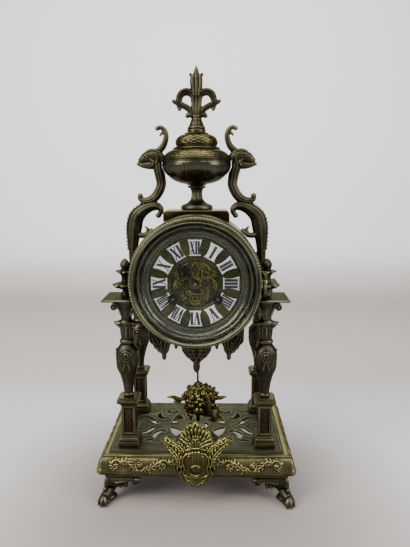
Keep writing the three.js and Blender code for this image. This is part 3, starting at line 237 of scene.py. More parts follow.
def sweep(stations, sides=16, per_span=6, across=(0, 1, 0), square=1.0, carve=None):
    """A tube along stations of x, y, z, half width, half depth, with rounded ends."""
    path = spline(stations, per_span)
    centre, half, deep = path[:, :3], path[:, 3], path[:, 4]
    across = np.asarray(across, float)
    tangent = np.gradient(centre, axis=0)
    side = np.cross(tangent, across)
    side /= np.linalg.norm(side, axis=1)[:, None] + 1e-9
    angle = np.linspace(0, 2 * np.pi, sides, endpoint=False)
    c, s = np.cos(angle), np.sin(angle)
    u = np.sign(c) * np.abs(c) ** square
    w = np.sign(s) * np.abs(s) ** square
    unit = tangent / (np.linalg.norm(tangent, axis=1)[:, None] + 1e-9)
    size = min(half[0], deep[0]), min(half[-1], deep[-1])

    def section(k, shrink, push):
        scale = shrink if carve is None else shrink * (1 + carve(angle, k / (len(path) - 1)))
        return (centre[k] + push + side[k] * (half[k] * u * scale)[:, None]
                + across * (deep[k] * w * scale)[:, None])

    rows = [section(0, shrink, unit[0] * -out * size[0]) for out, shrink in CAP_RINGS]
    rows += [section(k, 1.0, 0) for k in range(len(path))]
    rows += [section(len(path) - 1, shrink, unit[-1] * out * size[1]) for out, shrink in CAP_RINGS[::-1]]
    verts = np.vstack(rows + [(centre[0] - unit[0] * size[0] * CAP_TIP)[None],
                              (centre[-1] + unit[-1] * size[1] * CAP_TIP)[None]])
    faces = grid_faces(len(rows), sides, wrap_columns=True).tolist()
    first, last = len(verts) - 2, len(verts) - 1
    top = (len(rows) - 1) * sides
    faces += [[first, j, (j + 1) % sides] for j in range(sides)]
    faces += [[last, top + (j + 1) % sides, top + j] for j in range(sides)]
    return outward((verts, faces))


def flat_sweep(points, depth, **options):
    """A sweep in the XZ plane from x, z, half width and, if given, half depth."""
    rows = [[p[0], 0, p[1], p[2], p[3] if len(p) > 3 else min(depth, p[2] * 1.5)] for p in points]
    return sweep(rows, **options)


def ball(centre, radii, wide=18, high=10, tilt=0.0):
    """An ellipsoid, tilted about Y by degrees."""
    polar = np.linspace(0, np.pi, high + 1)
    outline = np.column_stack([np.sin(polar), -np.cos(polar)])
    verts, faces = lathe(outline, wide)
    verts = verts * np.asarray(radii, float)
    a = math.radians(tilt)
    turn = np.array([[math.cos(a), 0, math.sin(a)], [0, 1, 0], [-math.sin(a), 0, math.cos(a)]])
    return verts @ turn.T + np.asarray(centre, float), faces


def block(low, high, bevel):
    """A box whose vertical and horizontal edges are softened by a small chamfer."""
    x0, y0, z0 = low
    x1, y1, z1 = high
    b = bevel

    def outline(i, z):
        return [[x0 + i + b, y0 + i, z], [x1 - i - b, y0 + i, z], [x1 - i, y0 + i + b, z],
                [x1 - i, y1 - i - b, z], [x1 - i - b, y1 - i, z], [x0 + i + b, y1 - i, z],
                [x0 + i, y1 - i - b, z], [x0 + i, y0 + i + b, z]]

    rows = [outline(b, z0), outline(0, z0 + b), outline(0, z1 - b), outline(b, z1)]
    verts = np.array(rows).reshape(-1, 3)
    faces = grid_faces(4, 8, wrap_columns=True).tolist()
    faces += [list(range(8))[::-1], list(range(24, 32))]
    return outward((verts, faces))


def outward(part):
    """Turns all faces round if the closed mesh is inside out."""
    verts, faces = np.asarray(part[0], float), part[1]
    total = 0.0
    for size in {len(face) for face in faces}:
        loop = np.array([face for face in faces if len(face) == size])
        for k in range(1, size - 1):
            turn = np.cross(verts[loop[:, k]], verts[loop[:, k + 1]])
            total += float(np.sum(verts[loop[:, 0]] * turn))
    return (verts, faces) if total > 0 else (verts, flipped(faces))


# Reliefs: ridges and signed distances on a plane
def ridges(X, Z, strokes, per_span=5):
    """Height over the plane of rounded ridges, each given as rows of x, z, half width, height."""
    height = np.zeros_like(X)
    for stroke in strokes:
        p = spline(stroke, per_span)
        reach = p[:, 2].max() * 1.05
        near = ((X > p[:, 0].min() - reach) & (X < p[:, 0].max() + reach)
                & (Z > p[:, 1].min() - reach) & (Z < p[:, 1].max() + reach))
        if not near.any():
            continue
        x, z = X[near], Z[near]
        best = np.zeros_like(x)
        for a, b in zip(p[:-1], p[1:]):
            dx, dz = b[0] - a[0], b[1] - a[1]
            along = np.clip(((x - a[0]) * dx + (z - a[1]) * dz) / max(dx * dx + dz * dz, 1e-9), 0, 1)
            away = np.hypot(x - a[0] - along * dx, z - a[1] - along * dz)
            width = np.maximum(a[2] + (b[2] - a[2]) * along, 1e-3)
            top = a[3] + (b[3] - a[3]) * along
            best = np.maximum(best, top * np.sqrt(np.clip(1 - (away / width) ** 2, 0, 1)))
        height[near] = np.maximum(height[near], best)
    return height


def leafy(stem, count, reach, spread, width, height, sides=(-1, 1)):
    """Leaflets that leave a stem on its two sides, as strokes."""
    p = spline(np.asarray(stem, float)[:, :2], 8)
    strokes = []
    for k in np.linspace(0.08, 0.95, count):
        at = int(k * (len(p) - 1))
        ahead = p[min(at + 1, len(p) - 1)] - p[max(at - 1, 0)]
        heading = math.atan2(ahead[1], ahead[0])
        for side in sides:
            a = heading + side * math.radians(spread)
            b = heading + side * math.radians(spread * 0.45)
            mid = p[at] + 0.6 * reach * np.array([math.cos(a), math.sin(a)])
            tip = mid + 0.5 * reach * np.array([math.cos(b), math.sin(b)])
            strokes.append([[*p[at], 0.5 * width, 0.7 * height], [*mid, width, height],
                            [*tip, 0.3 * width, 0.4 * height]])
    return strokes


def polygon_distance(X, Z, points):
    """Signed distance to a closed outline, negative inside it."""
    p = np.asarray(points, float)
    q = np.roll(p, -1, axis=0)
    away = np.full(X.shape, 1e9)
    inside = np.zeros(X.shape, bool)
    for a, b in zip(p, q):
        dx, dz = b - a
        along = np.clip(((X - a[0]) * dx + (Z - a[1]) * dz) / max(dx * dx + dz * dz, 1e-9), 0, 1)
        away = np.minimum(away, np.hypot(X - a[0] - along * dx, Z - a[1] - along * dz))
        crosses = (a[1] > Z) != (b[1] > Z)
        slope = np.where(abs(dz) > 1e-9, (Z - a[1]) / (dz if abs(dz) > 1e-9 else 1.0), 0.0)
        inside ^= crosses & (X < a[0] + slope * dx)
    return np.where(inside, -away, away)


def both_sides(strokes):
    """The strokes and their mirror images in x."""
    out = []
    for stroke in strokes:
        out += [np.asarray(stroke, float), np.asarray(stroke, float) * [-1, 1, 1, 1]]
    return out


def mirrored_outline(half):
    """A closed outline from its right half."""
    left = [(-x, z) for x, z in half[::-1] if x > 0]
    return np.array(list(half) + left, float)


def lip(away, at, width):
    """A rounded rib at a distance from an edge, 1 high."""
    return np.exp(-(((away - at) / width) ** 2))


def plate(low, high, step, distance, height, thick, to_space, bevel):
    """A pierced plate with a carved face. distance is negative in the metal."""
    a = np.arange(low[0], high[0] + step, step)
    b = np.arange(low[1], high[1] + step, step)
    A, B = np.meshgrid(a, b, indexing="ij")
    D = distance(A, B)
    keep = (D[:-1, :-1] + D[1:, :-1] + D[1:, 1:] + D[:-1, 1:]) / 4 < 0
    ga, gb = np.gradient(D, step)
    size = np.maximum(ga**2 + gb**2, 0.2)
    padded = np.pad(keep, 1)
    around = [padded[:-1, :-1], padded[1:, :-1], padded[1:, 1:], padded[:-1, 1:]]
    edge = np.any(around, axis=0) & ~np.all(around, axis=0)
    limit = 0.7 * step
    A = np.where(edge, A - np.clip(D * ga / size, -limit, limit), A)
    B = np.where(edge, B - np.clip(D * gb / size, -limit, limit), B)
    soft = np.clip(-D / bevel, 0, 1)
    H = height(A, B) * np.clip(-D / (1.5 * bevel), 0, 1) - bevel * (1 - np.sqrt(1 - (1 - soft) ** 2))
    H = np.where(edge, -bevel, H)
    front = to_space(A, B, thick + H).reshape(-1, 3)
    back = to_space(A, B, np.zeros_like(A)).reshape(-1, 3)
    n, columns = len(front), len(b)
    quads = grid_faces(len(a), columns).reshape(len(a) - 1, columns - 1, 4)
    faces = quads[keep].tolist()
    faces += [face[::-1] for face in (quads[keep] + n).tolist()]
    sides = [(1, 0, 1, 2), (-1, 0, 3, 0), (0, 1, 2, 3), (0, -1, 0, 1)]
    for da, db, k0, k1 in sides:
        beyond = padded[1 + da:padded.shape[0] - 1 + da, 1 + db:padded.shape[1] - 1 + db]
        rim = quads[keep & ~beyond]
        faces += [[f[k1], f[k0], f[k0] + n, f[k1] + n] for f in rim.tolist()]
    verts = np.vstack([front, back])
    used = np.zeros(len(verts), bool)
    used[np.unique(np.concatenate([np.ravel(f) for f in faces]))] = True
    index = np.cumsum(used) - 1
    return outward((verts[used], [[int(index[k]) for k in face] for face in faces]))


# Blender objects
def to_mesh(name, part):
    """A Blender mesh, in the frame's metres, from a part in the clock's plan."""
    verts, faces = part
    mesh = bpy.data.meshes.new(name)
    co = (np.asarray(verts, float) + OFFSET) * MM
    mesh.from_pydata(co.tolist(), [], [list(map(int, f)) for f in faces])
    mesh.validate(clean_customdata=False)
    return mesh


def as_object(name, mesh):
    thing = bpy.data.objects.new(name, mesh)
    bpy.context.scene.collection.objects.link(thing)
    return thing


def apply_modifiers(thing):
    """Turns a piece's modifiers into its mesh."""
    graph = bpy.context.evaluated_depsgraph_get()
    made = bpy.data.meshes.new_from_object(thing.evaluated_get(graph))
    old = thing.data
    thing.modifiers.clear()
    thing.data = made
    bpy.data.meshes.remove(old)
    made.name = thing.name


def fused(thing, voxel, soften):
    """Melts overlapping closed shapes into one casting."""
    melt = thing.modifiers.new("melt", "REMESH")
    melt.mode = "VOXEL"
    melt.voxel_size = voxel * MM
    melt.use_smooth_shade = True
    smooth = thing.modifiers.new("soften", "SMOOTH")
    smooth.factor = 0.5
    smooth.iterations = soften
    apply_modifiers(thing)


def welded(thing):
    """Joins points that lie on each other, as at the poles of a lathe."""
    weld = thing.modifiers.new("weld", "WELD")
    weld.merge_threshold = 0.002 * MM
    apply_modifiers(thing)


def cut_with(thing, *tools):
    """Cuts closed shapes out of a piece."""
    for tool in tools:
        helper = as_object("cutting_tool", to_mesh("cutting_tool", tool))
        carve = thing.modifiers.new("cut", "BOOLEAN")
        carve.operation = "DIFFERENCE"
        carve.object = helper
        carve.solver = "EXACT"
        apply_modifiers(thing)
        bpy.data.objects.remove(helper)


def read(items, field, width, kind=float):
    """A field of all vertices, edges or faces as rows of numbers."""
    values = np.empty(len(items) * width, kind)
    items.foreach_get(field, values)
    return values.reshape(-1, width)


def in_plan(thing):
    """A piece's points in the clock's plan."""
    return read(thing.data.vertices, "co", 3) / MM - OFFSET


def set_points(thing, points):
    """Puts points of the clock's plan back into a piece."""
    thing.data.vertices.foreach_set("co", ((points + OFFSET) * MM).ravel())
    thing.data.update()


def face_centres(thing):
    """Middles of a piece's faces, in the clock's plan."""
    return read(thing.data.polygons, "center", 3) / MM - OFFSET


def second_metal(thing, material, chosen):
    """Gives the chosen faces of a piece another metal."""
    thing.data.materials.append(material)
    thing.data.polygons.foreach_set("material_index", chosen.astype(np.int32))


# The span round 0.5 of the wear with its painted shade and painted highlight, and how proud a point is at
# about its full value, as a share of the reach
WEAR_AND_LIGHT_SPAN, WEAR_AND_LIGHT_FULL = 0.37, 0.14


def wear(mesh, reach):
    """Stores how far each point stands proud of its surroundings (above 0.5) or lies below them; the metal
    shows this as wear with a painted highlight on proud points, and as patina with painted shade in sunk
    ones.
    """
    n = len(mesh.vertices)
    co, normal = read(mesh.vertices, "co", 3), read(mesh.vertices, "normal", 3)
    edges = read(mesh.edges, "vertices", 2, int)
    length = np.linalg.norm(co[edges[:, 0]] - co[edges[:, 1]], axis=1).mean() / MM
    count = np.bincount(edges.ravel(), minlength=n).astype(float)
    count[count == 0] = 1
    smooth = co.copy()
    rounds = int(np.clip((reach / max(length, 0.05)) ** 2, 2, 30))
    for step in range(rounds):
        total = np.empty_like(smooth)
        for k in range(3):
            total[:, k] = (np.bincount(edges[:, 0], smooth[edges[:, 1], k], n)
                           + np.bincount(edges[:, 1], smooth[edges[:, 0], k], n))
        smooth = 0.5 * smooth + 0.5 * total / count[:, None]
    proud = ((co - smooth) * normal).sum(1) / MM
    # Proud points read as worn and carry a painted highlight; sunk points carry patina and painted shade
    value = 0.5 + WEAR_AND_LIGHT_SPAN * np.tanh(proud / (WEAR_AND_LIGHT_FULL * reach))
    layer = mesh.attributes.new("wear", "FLOAT", "POINT")
    layer.data.foreach_set("value", value.astype(np.float32))


def piece(name, part, body, material, nodes=(), melt=None, soften=2, crisp=40, reach=1.2):
    """Makes a finished piece of the clock that rides on a body.

    melt fuses the part at so many millimetres; crisp is the angle in degrees from which an edge
    stays sharp; reach is how far, in millimetres, the wear, painted shade and painted highlight look round
    each point.
    """
    thing = as_object(name, to_mesh(name, part))
    if melt:
        fused(thing, melt, soften)
    else:
        welded(thing)
    mesh = thing.data
    mesh.materials.clear()
    mesh.materials.append(material)
    mesh.shade_smooth()
    if not melt and crisp < 180:
        mesh.set_sharp_from_angle(angle=math.radians(crisp))
    wear(mesh, reach)
    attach(thing, body)
    if nodes:
        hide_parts(*nodes)
    return thing


# Materials
def new_material(name):
    """A material, its node tree, its shader and the place on the object."""
    material = bpy.data.materials.new(name)
    material.use_nodes = True
    tree = material.node_tree
    place = tree.nodes.new("ShaderNodeTexCoord").outputs["Object"]
    return material, tree, tree.nodes["Principled BSDF"], place


def feed(tree, target, inputs):
    """Sets a node's inputs, or links them where the value is another node's output."""
    for key, value in inputs.items():
        if isinstance(value, bpy.types.NodeSocket):
            tree.links.new(value, target.inputs[key])
        else:
            target.inputs[key].default_value = value
    return target


def node(tree, kind, inputs, **settings):
    """A new node with its inputs fed and its settings made."""
    made = tree.nodes.new(kind)
    for key, value in settings.items():
        setattr(made, key, value)
    return feed(tree, made, inputs)


def worked(tree, operation, *values, **settings):
    """The result of a sum on single values."""
    return node(tree, "ShaderNodeMath", dict(enumerate(values)), operation=operation, **settings).outputs[0]


def noise(tree, place, scale, detail, roughness=0.5):
    """Cloudy values from about 0 to 1."""
    return node(tree, "ShaderNodeTexNoise", {"Vector": place, "Scale": scale, "Detail": detail,
                                             "Roughness": roughness}).outputs["Fac"]


def mapped(tree, value, span, to=(0.0, 1.0), **settings):
    """The value, taken from one span to another."""
    return node(tree, "ShaderNodeMapRange", {
        "Value": value, "From Min": span[0], "From Max": span[1], "To Min": to[0], "To Max": to[1],
    }, **settings).outputs["Result"]


def mixed(tree, factor, a, b):
    """A colour between two others."""
    made = node(tree, "ShaderNodeMix", {"Factor": factor, "A": a, "B": b}, data_type="RGBA")
    return made.outputs["Result"]


def bumps(tree, height, strength, distance):
    """A shading normal with fine relief."""
    return node(tree, "ShaderNodeBump", {"Height": height, "Strength": strength,
                                         "Distance": distance}).outputs["Normal"]


def ramp(tree, factor, stops):
    """Colours between stops, each a place from 0 to 1 and an sRGB hex string."""
    made = node(tree, "ShaderNodeValToRGB", {"Fac": factor})
    elements = made.color_ramp.elements
    while len(elements) < len(stops):
        elements.new(0.5)
    for element, (at, color) in zip(elements, stops):
        element.position = at
        element.color = rgba(color) if isinstance(color, str) else color
    return made.outputs["Color"]


def rgba(text):
    """Linear colour from an sRGB hex string."""
    parts = [int(text[k:k + 2], 16) / 255 for k in (0, 2, 4)]
    return *(c / 12.92 if c <= 0.04045 else ((c + 0.055) / 1.055) ** 2.4 for c in parts), 1


CLOUDS_PER_METRE, SPECKS_PER_METRE = 55.0, 700.0


def aged_metal(name, deep, mid, bright, rough, grain=0.05, glance=0.6, clouding=0.55, carved=True):
    """Metal that is cloudy with age, dark in its recesses with patina and painted shade, and bright on its
    edges with wear and a painted highlight.
    """
    material, tree, shader, place = new_material(name)
    # The proud-or-sunk value paints shade into recesses and highlights onto edges, as well as wear and
    # patina
    if carved:
        proud = node(tree, "ShaderNodeAttribute", {}, attribute_name="wear").outputs["Fac"]
    else:
        # Pointiness likewise paints shade in hollows and highlights on edges
        point = node(tree, "ShaderNodeNewGeometry", {}).outputs["Pointiness"]
        proud = mapped(tree, point, (0.40, 0.60))
    clouds = noise(tree, place, CLOUDS_PER_METRE, 5.0, 0.62)
    specks = noise(tree, place, SPECKS_PER_METRE, 3.0)
    shift = worked(tree, "MULTIPLY", worked(tree, "ADD", clouds, -0.5), clouding)
    level = worked(tree, "ADD", proud, shift)
    level = worked(tree, "ADD", level, worked(tree, "MULTIPLY", specks, 0.16))
    feed(tree, shader, {
        # Deep colour is patina and painted shade, bright colour is wear and a painted highlight
        "Base Color": ramp(tree, level, [(0.22, deep), (0.58, mid), (0.95, bright)]),
        "Roughness": mapped(tree, level, (0.1, 1.0), (rough + 0.11, rough - 0.08)),
        "Metallic": 1.0,
        "Specular Tint": (glance, glance, glance * 0.9, 1),
        "Normal": bumps(tree, specks, grain * 4, 0.0002),
    })
    return material


def enamel_material(name, color, rough):
    """Smooth enamel, a little uneven in colour and gloss."""
    material, tree, shader, place = new_material(name)
    clouds = noise(tree, place, 180.0, 4.0)
    full = rgba(color)
    low = (*(c * 0.88 for c in full[:3]), 1)
    feed(tree, shader, {
        "Base Color": ramp(tree, clouds, [(0.3, low), (0.7, full)]),
        "Roughness": mapped(tree, clouds, (0.0, 1.0), (rough, rough + 0.12)),
        "Normal": bumps(tree, clouds, 0.05, 0.0003),
    })
    return material


def glass_material(name):
    """Thin clear glass: clear where faced, glossy at a slant, with a faint haze of handling."""
    material, tree, shader, place = new_material(name)
    haze = noise(tree, place, 24.0, 4.0)
    feed(tree, shader, {
        "Base Color": ramp(tree, haze, [(0.3, (0.93, 0.95, 0.93, 1)), (0.7, (1, 1, 1, 1))]),
        "Roughness": mapped(tree, haze, (0.0, 1.0), (0.015, 0.06)),
        "Transmission Weight": 1.0,
        "IOR": 1.22,
    })
    return material


DARK = aged_metal("dark_brass", "090806", "28261d", "5e5941", 0.42)
CAST = aged_metal("column_brass", "0b0b08", "323026", "6a6550", 0.40)
PEDESTAL = aged_metal("pedestal_brass", "100e0a", "433d2c", "786f54", 0.38)
FINIAL = aged_metal("finial_brass", "090806", "242219", "524d3a", 0.40)
TOP = aged_metal("top_brass", "17170f", "47483a", "6e7057", 0.44)
GILT_PALE = aged_metal("cartouche_brass", "1a180d", "4c482b", "8f8952", 0.36)
GREYED = aged_metal("plate_brass", "10110d", "31342b", "565b4a", 0.36, glance=0.32)
DIAL = aged_metal("dial_brass", "0a0a04", "2e2f19", "86823f", 0.38)
CASE = aged_metal("case_brass", "0c0c08", "2c2b1b", "5a5637", 0.32)
BEZEL = aged_metal("bezel_brass", "11120e", "474839", "6f6e56", 0.26, grain=0.015, clouding=0.22)
BASE = aged_metal("base_brass", "14130b", "494530", "878050", 0.34)
LID = aged_metal("lid_brass", "090806", "2c291b", "70683f", 0.30)
BOWL = aged_metal("bowl_brass", "141310", "403f32", "545240", 0.26)
PLINTH = aged_metal("plinth_brass", "120f08", "382f1b", "675d3b", 0.30)
PANEL = aged_metal("panel_brass", "0f0b08", "2d251c", "51463a", 0.46)
BOB = aged_metal("bob_brass", "0a0905", "322d1c", "8a7f46", 0.32)
WORKS = aged_metal("works_brass", "2c220c", "6d5b2d", "a8945a", 0.32)
BELL = aged_metal("bell_metal", "231c0c", "5a4c29", "94835a", 0.26)
STEEL = aged_metal("dull_steel", "0a0a0b", "242425", "5a5a5c", 0.34)
BLUED = aged_metal("blued_steel", "050506", "0f1013", "2a2c33", 0.34)
ENAMEL = enamel_material("white_enamel", "d8d8d9", 0.16)
INK = enamel_material("navy_enamel", "06070c", 0.42)
# Near-black metal of the collets in the winding holes: painted shade of the holes' depth
EYELET_SHADE = aged_metal("eyelet_painted_shade", "030303", "0a0a09", "1c1c18", 0.5)
CRUTCH = aged_metal("crutch_steel", "1b1b1d", "55555a", "a5a5a8", 0.32, carved=False)
GLASS = glass_material("clear_glass")


def laid_back(verts):
    """Takes x, z, depth to x, depth, z."""
    return verts[:, [0, 2, 1]]


def extruded(outline, low, high, bevel, to_space, fillet):
    """Thickens an outline between two levels, with rims rounded in so many steps."""
    p = np.asarray(outline, float)
    before, after = np.roll(p, 1, axis=0), np.roll(p, -1, axis=0)
    direction = (p - before) / (np.linalg.norm(p - before, axis=1)[:, None] + 1e-9)
    onward = (after - p) / (np.linalg.norm(after - p, axis=1)[:, None] + 1e-9)
    normal = np.column_stack([-(direction + onward)[:, 1], (direction + onward)[:, 0]])
    normal /= np.linalg.norm(normal, axis=1)[:, None] + 1e-9
    area = 0.5 * np.sum(p[:, 0] * after[:, 1] - after[:, 0] * p[:, 1])
    inward = normal if area > 0 else -normal
    levels = []
    for k in range(fillet + 1):
        a = math.pi / 2 * k / fillet
        levels.append((bevel * (1 - math.sin(a)), low + bevel * (1 - math.cos(a))))
    levels += [(inset, high + low - level) for inset, level in levels[::-1]]
    rows = [np.column_stack([p + inward * inset, np.full(len(p), level)]) for inset, level in levels]
    n = len(p)
    faces = grid_faces(len(rows), n, wrap_columns=True).tolist()
    faces += [list(range(n))[::-1], list(range((len(rows) - 1) * n, len(rows) * n))]
    return outward((to_space(np.vstack(rows)), faces))


# Base: moulding carried round the plan, with foliage cast in relief on its four sides
BASE_CORNER, CORNER_LEAST = 6.0, 0.3
LEDGE_INSET = BASE_HALF_X - PLATE_HIGH[0] - 0.3
FRAME_RISE = BASE_HIGH[2] - BASE_BOTTOM
FOLIAGE_RISE = 2.0
MOULDING = steps(
    (9.5, 0), (8.2, 0), None, (8.0, 1.4), (7.4, 3.4), (5.6, 4.6), None, (4.2, 5.0), (1.4, 6.2),
    (0.2, 8.0), (0, 9.6), (0.4, 11.4), (1.1, 12.8), (1.5, 14.0), (1.9, 16.2), (2.8, 19.4),
    (4.8, 22.2), (6.4, 23.2), None, (6.8, 24.2), (7.6, 25.2), (8.9, FRAME_RISE), None,
    (LEDGE_INSET, FRAME_RISE),
)
MOULDING_INSIDE = [(LEDGE_INSET, 24.5), (22.2, 24.5), (22.2, 21.5), (12, 21), (5.4, 12), (6.4, 9.0),
                   (9.5, 6)]
FOLIAGE_FROM, FOLIAGE_TO, FOLIAGE_PITCH, FOLIAGE_SUNK = 9.6, 23.2, 25.0, 1.1


def quarter_turned(x, y, z, side):
    """Points turned about the Z axis by a number of right angles."""
    c, s = ((1, 0), (0, 1), (-1, 0), (0, -1))[side]
    return np.column_stack([c * x - s * y, s * x + c * y, z])


def foliage_strokes(length):
    """Running scrollwork along a side: distance along it, height over the base's bottom."""
    mid = (FOLIAGE_FROM + FOLIAGE_TO) / 2
    strokes = []
    for k in range(int(length / 2 / FOLIAGE_PITCH) + 1):
        x = length / 2 - 10 - k * FOLIAGE_PITCH
        if x < 8:
            break
        up = 1 if k % 2 == 0 else -1
        scroll = spiral(x, mid, 1.2, 5.8, 80 * up, 520 * up, 24)
        stem = [[x - 5.4, mid + 2.6 * up], [x - 10, mid + 4.4 * up], [x - 14.5, mid + 0.6 * up],
                [x - 20.5, mid - 4.2 * up]]
        strokes.append(tapered(scroll, 0.6, 1.2, 1.2, FOLIAGE_RISE))
        strokes.append(tapered(stem, 1.3, 0.9, FOLIAGE_RISE, 1.2))
        strokes += leafy(scroll[10:], 8, 2.6, 70, 0.9, FOLIAGE_RISE, (-up,))
        strokes += leafy(stem, 5, 4.6, 62, 1.1, 1.7)
        for turn in range(0, 360, 60):
            a = math.radians(turn + 15)
            strokes.append(tapered([[x + math.cos(a), mid + math.sin(a)],
                                    [x + 3.0 * math.cos(a + 0.3), mid + 3.0 * math.sin(a + 0.3)]],
                                   0.9, 0.4, FOLIAGE_RISE, 0.8))
    return both_sides(strokes)


def moulding_part():
    """The base moulding, finely meshed where the foliage is."""
    outline = np.vstack([MOULDING, MOULDING_INSIDE, MOULDING[:1]])
    inset, height = outline.T
    straight = [BASE_HALF_X - BASE_CORNER, BASE_HALF_Y - BASE_CORNER] * 2
    stations = []
    for side, half in enumerate(straight):
        count = int(2 * half / 0.62)
        stations += [(side, half * (2 * k / count - 1), 0.0) for k in range(count)]
        stations += [(side, half, k / 7 * math.pi / 2) for k in range(7)]
    side, along, bend = np.array(stations).T
    S, V = np.meshgrid(along, height, indexing="ij")
    lift = np.zeros_like(S)
    for k, half in enumerate(straight):
        rows = (side == k) & (bend == 0)
        length = 2 * half - 10
        carved = (between(V[rows], FOLIAGE_FROM - 2.0, 2.4, FOLIAGE_TO + 0.6, 1.2)
                  * np.clip((length / 2 - np.abs(S[rows])) / 9.0, 0, 1)
                  * (np.arange(len(height)) < len(MOULDING)))
        strength = 1.0 if k % 2 == 0 else 0.6
        lift[rows] = carved * (strength * ridges(S[rows], V[rows], foliage_strokes(length)) - FOLIAGE_SUNK)
    rows = []
    for k, (s, a, b) in enumerate(stations):
        half, other = straight[s], straight[(s + 1) % 4]
        bulge = BASE_CORNER + np.minimum(-inset + lift[k] * 0.75, 0)
        turn = np.maximum(bulge, CORNER_LEAST)
        mitre = np.minimum(bulge - CORNER_LEAST, 0)
        x = (half + mitre) * a / half + turn * math.sin(b)
        y = -other - mitre - turn * math.cos(b)
        rows.append(quarter_turned(x, y, BASE_BOTTOM + height + lift[k] * 0.5, s))
    return outward((np.vstack(rows), grid_faces(len(rows), len(outline), wrap_rows=True).tolist()))


# Pierced top plate
def slot_hole(rows):
    """Outline of a slot along a curve, from rows of x, y, half width."""
    p = spline(rows, 3)
    ahead = np.gradient(p[:, :2], axis=0)
    ahead /= np.linalg.norm(ahead, axis=1)[:, None]
    side = np.column_stack([-ahead[:, 1], ahead[:, 0]]) * p[:, 2:]
    return np.vstack([p[:, :2] + side, (p[:, :2] - side)[::-1]])


PLATE_HOLES = [
    slot_hole([[75, 8, 1.0], [71.4, 14.6, 2.6], [64.4, 19.2, 3.0], [57, 15.4, 2.8], [52.4, 8, 2.6],
               [46.4, 2.6, 1.4]]),
    slot_hole([[35.6, 17.6, 1.4], [40.4, 15.0, 2.8], [45.6, 18.4, 3.2], [48.2, 25, 2.6], [47, 31, 1.0]]),
    [[31.5, 4.4], [26, 6.2], [20.4, 10], [17.4, 13.4], [19, 20], [23.6, 27.5], [28.4, 20.6], [30.4, 13]],
    slot_hole([[25.4, 38, 0.9], [27.6, 33, 2.2], [32.4, 30.6, 2.6], [37, 33.4, 2.2], [38.8, 38, 0.9]]),
    slot_hole([[47.6, 37.6, 0.9], [51, 35.6, 2.0], [55.6, 36.4, 1.8], [58.6, 39.4, 0.9]]),
    slot_hole([[4.4, 19, 1.2], [9.6, 20.6, 2.4], [12.4, 25.4, 2.2], [12, 31, 0.9]]),
    [[3.5, 0], [9, -6.5], [13.5, 0], [9, 6.5]],
]
PLATE_LINES = [
    tapered(spiral(44, 17, 1.0, 6.4, 20, 420, 18), 0.55, 0.9, 0.5, 0.8),
    tapered(spiral(64.4, 5, 0.8, 8.4, 200, -160, 18), 0.6, 1.0, 0.5, 0.9),
    tapered(spiral(13, 15, 0.8, 3.4, 90, -250, 12), 0.5, 0.8, 0.5, 0.7),
    tapered([[53, 27], [60, 26], [68, 25], [74, 20], [78, 12]], 0.8, 0.5, 0.8, 0.5),
    tapered([[38, 22], [33, 34], [38, 42], [47, 42]], 0.9, 0.5, 0.8, 0.5),
    tapered([[20, 32], [26, 38], [24, 44], [17, 44]], 0.8, 0.5, 0.7, 0.5),
    tapered([[0, 36], [6, 40], [12, 38], [15, 31]], 0.7, 0.5, 0.7, 0.5),
]


def base_plate_part():
    """The pierced plate, drawn for one quarter and mirrored."""
    half_x, half_y = PLATE_HIGH[0], PLATE_HIGH[1]

    def distance(X, Y):
        edge = np.maximum(np.abs(X) - half_x, np.abs(Y) - half_y)
        for hole in PLATE_HOLES:
            edge = np.maximum(edge, -polygon_distance(np.abs(X), np.abs(Y), hole))
        return edge

    def height(X, Y):
        border = np.maximum(np.abs(X) - half_x, np.abs(Y) - half_y)
        rims = np.maximum(0.5 * lip(border, -2.6, 0.8), 0.4 * lip(border, -14.6, 0.5))
        for hole in PLATE_HOLES:
            rims = np.maximum(rims, 0.75 * lip(polygon_distance(np.abs(X), np.abs(Y), hole), 1.2, 0.7))
        return np.maximum(rims, ridges(np.abs(X), np.abs(Y), PLATE_LINES)) - 0.8

    low, high = (-half_x - 1, -half_y - 1), (half_x + 1, half_y + 1)
    thick = PLATE_HIGH[2] - PLATE_LOW[2]
    return plate(low, high, 0.6, distance, height, thick,
                 lambda A, B, H: np.stack([A, B, PLATE_LOW[2] + H], -1), bevel=0.4)


# Front cartouche
CARTOUCHE_LOW, CARTOUCHE_HIGH = node_box("front_cartouche")
CARTOUCHE_BACK = CARTOUCHE_HIGH[1]
CARTOUCHE_DEEP = CARTOUCHE_HIGH[1] - CARTOUCHE_LOW[1]
CARTOUCHE_FOOT = CARTOUCHE_LOW[2]
CARTOUCHE_EDGE = [
    (0, 73.3), (3.4, 72.4), (4.6, 69.6), (8.4, 70), (11.2, 67.4), (10.8, 64.6), (14, 63.2), (15.6, 59.4),
    (14.6, 57), (17.4, 54.6), (18, 51.4), (16.8, 49.4), (20, 50.6), (23.4, 54), (27, 54.6), (30, 56.6),
    (33.4, 53), (33.6, 49.6), (30.6, 47.6), (30.2, 44.4), (27, 42.4), (25.8, 38.6), (23.6, 36),
    (24, 32.4), (20.6, 29.8), (18.8, 26), (16.4, 24.4), (15.4, 20.8), (17.2, 18.4), (18.2, 14.6),
    (15.6, 12), (15.2, 9), (11.6, 7.2), (10.4, 4.2), (7, 4.2), (5, 1.6), (2, 1.4), (0, 0),
]
SHIELD_EDGE = [(0, 41), (5, 40), (9, 38.4), (12.6, 34), (13.4, 29), (12, 25), (12.6, 20), (11.6, 14),
               (8, 8.6), (4, 5.6), (0, 4.4)]
CARTOUCHE_HOLE_AT = (0, 20.7)
CARTOUCHE_HOLE = 4.7


def fan(x, z, inner, outer, angles, width, height):
    """Leaflets that spread from a point, at angles in degrees from straight up."""
    strokes = []
    for degrees in angles:
        a = math.radians(degrees)
        rows = [(inner, 0.5, 0.6), ((inner + 2 * outer) / 3, 1.0, 1.0), (outer, 0.35, 0.5)]
        strokes.append([[x + r * math.sin(a), z + r * math.cos(a), width * w, height * h]
                        for r, w, h in rows])
    return strokes


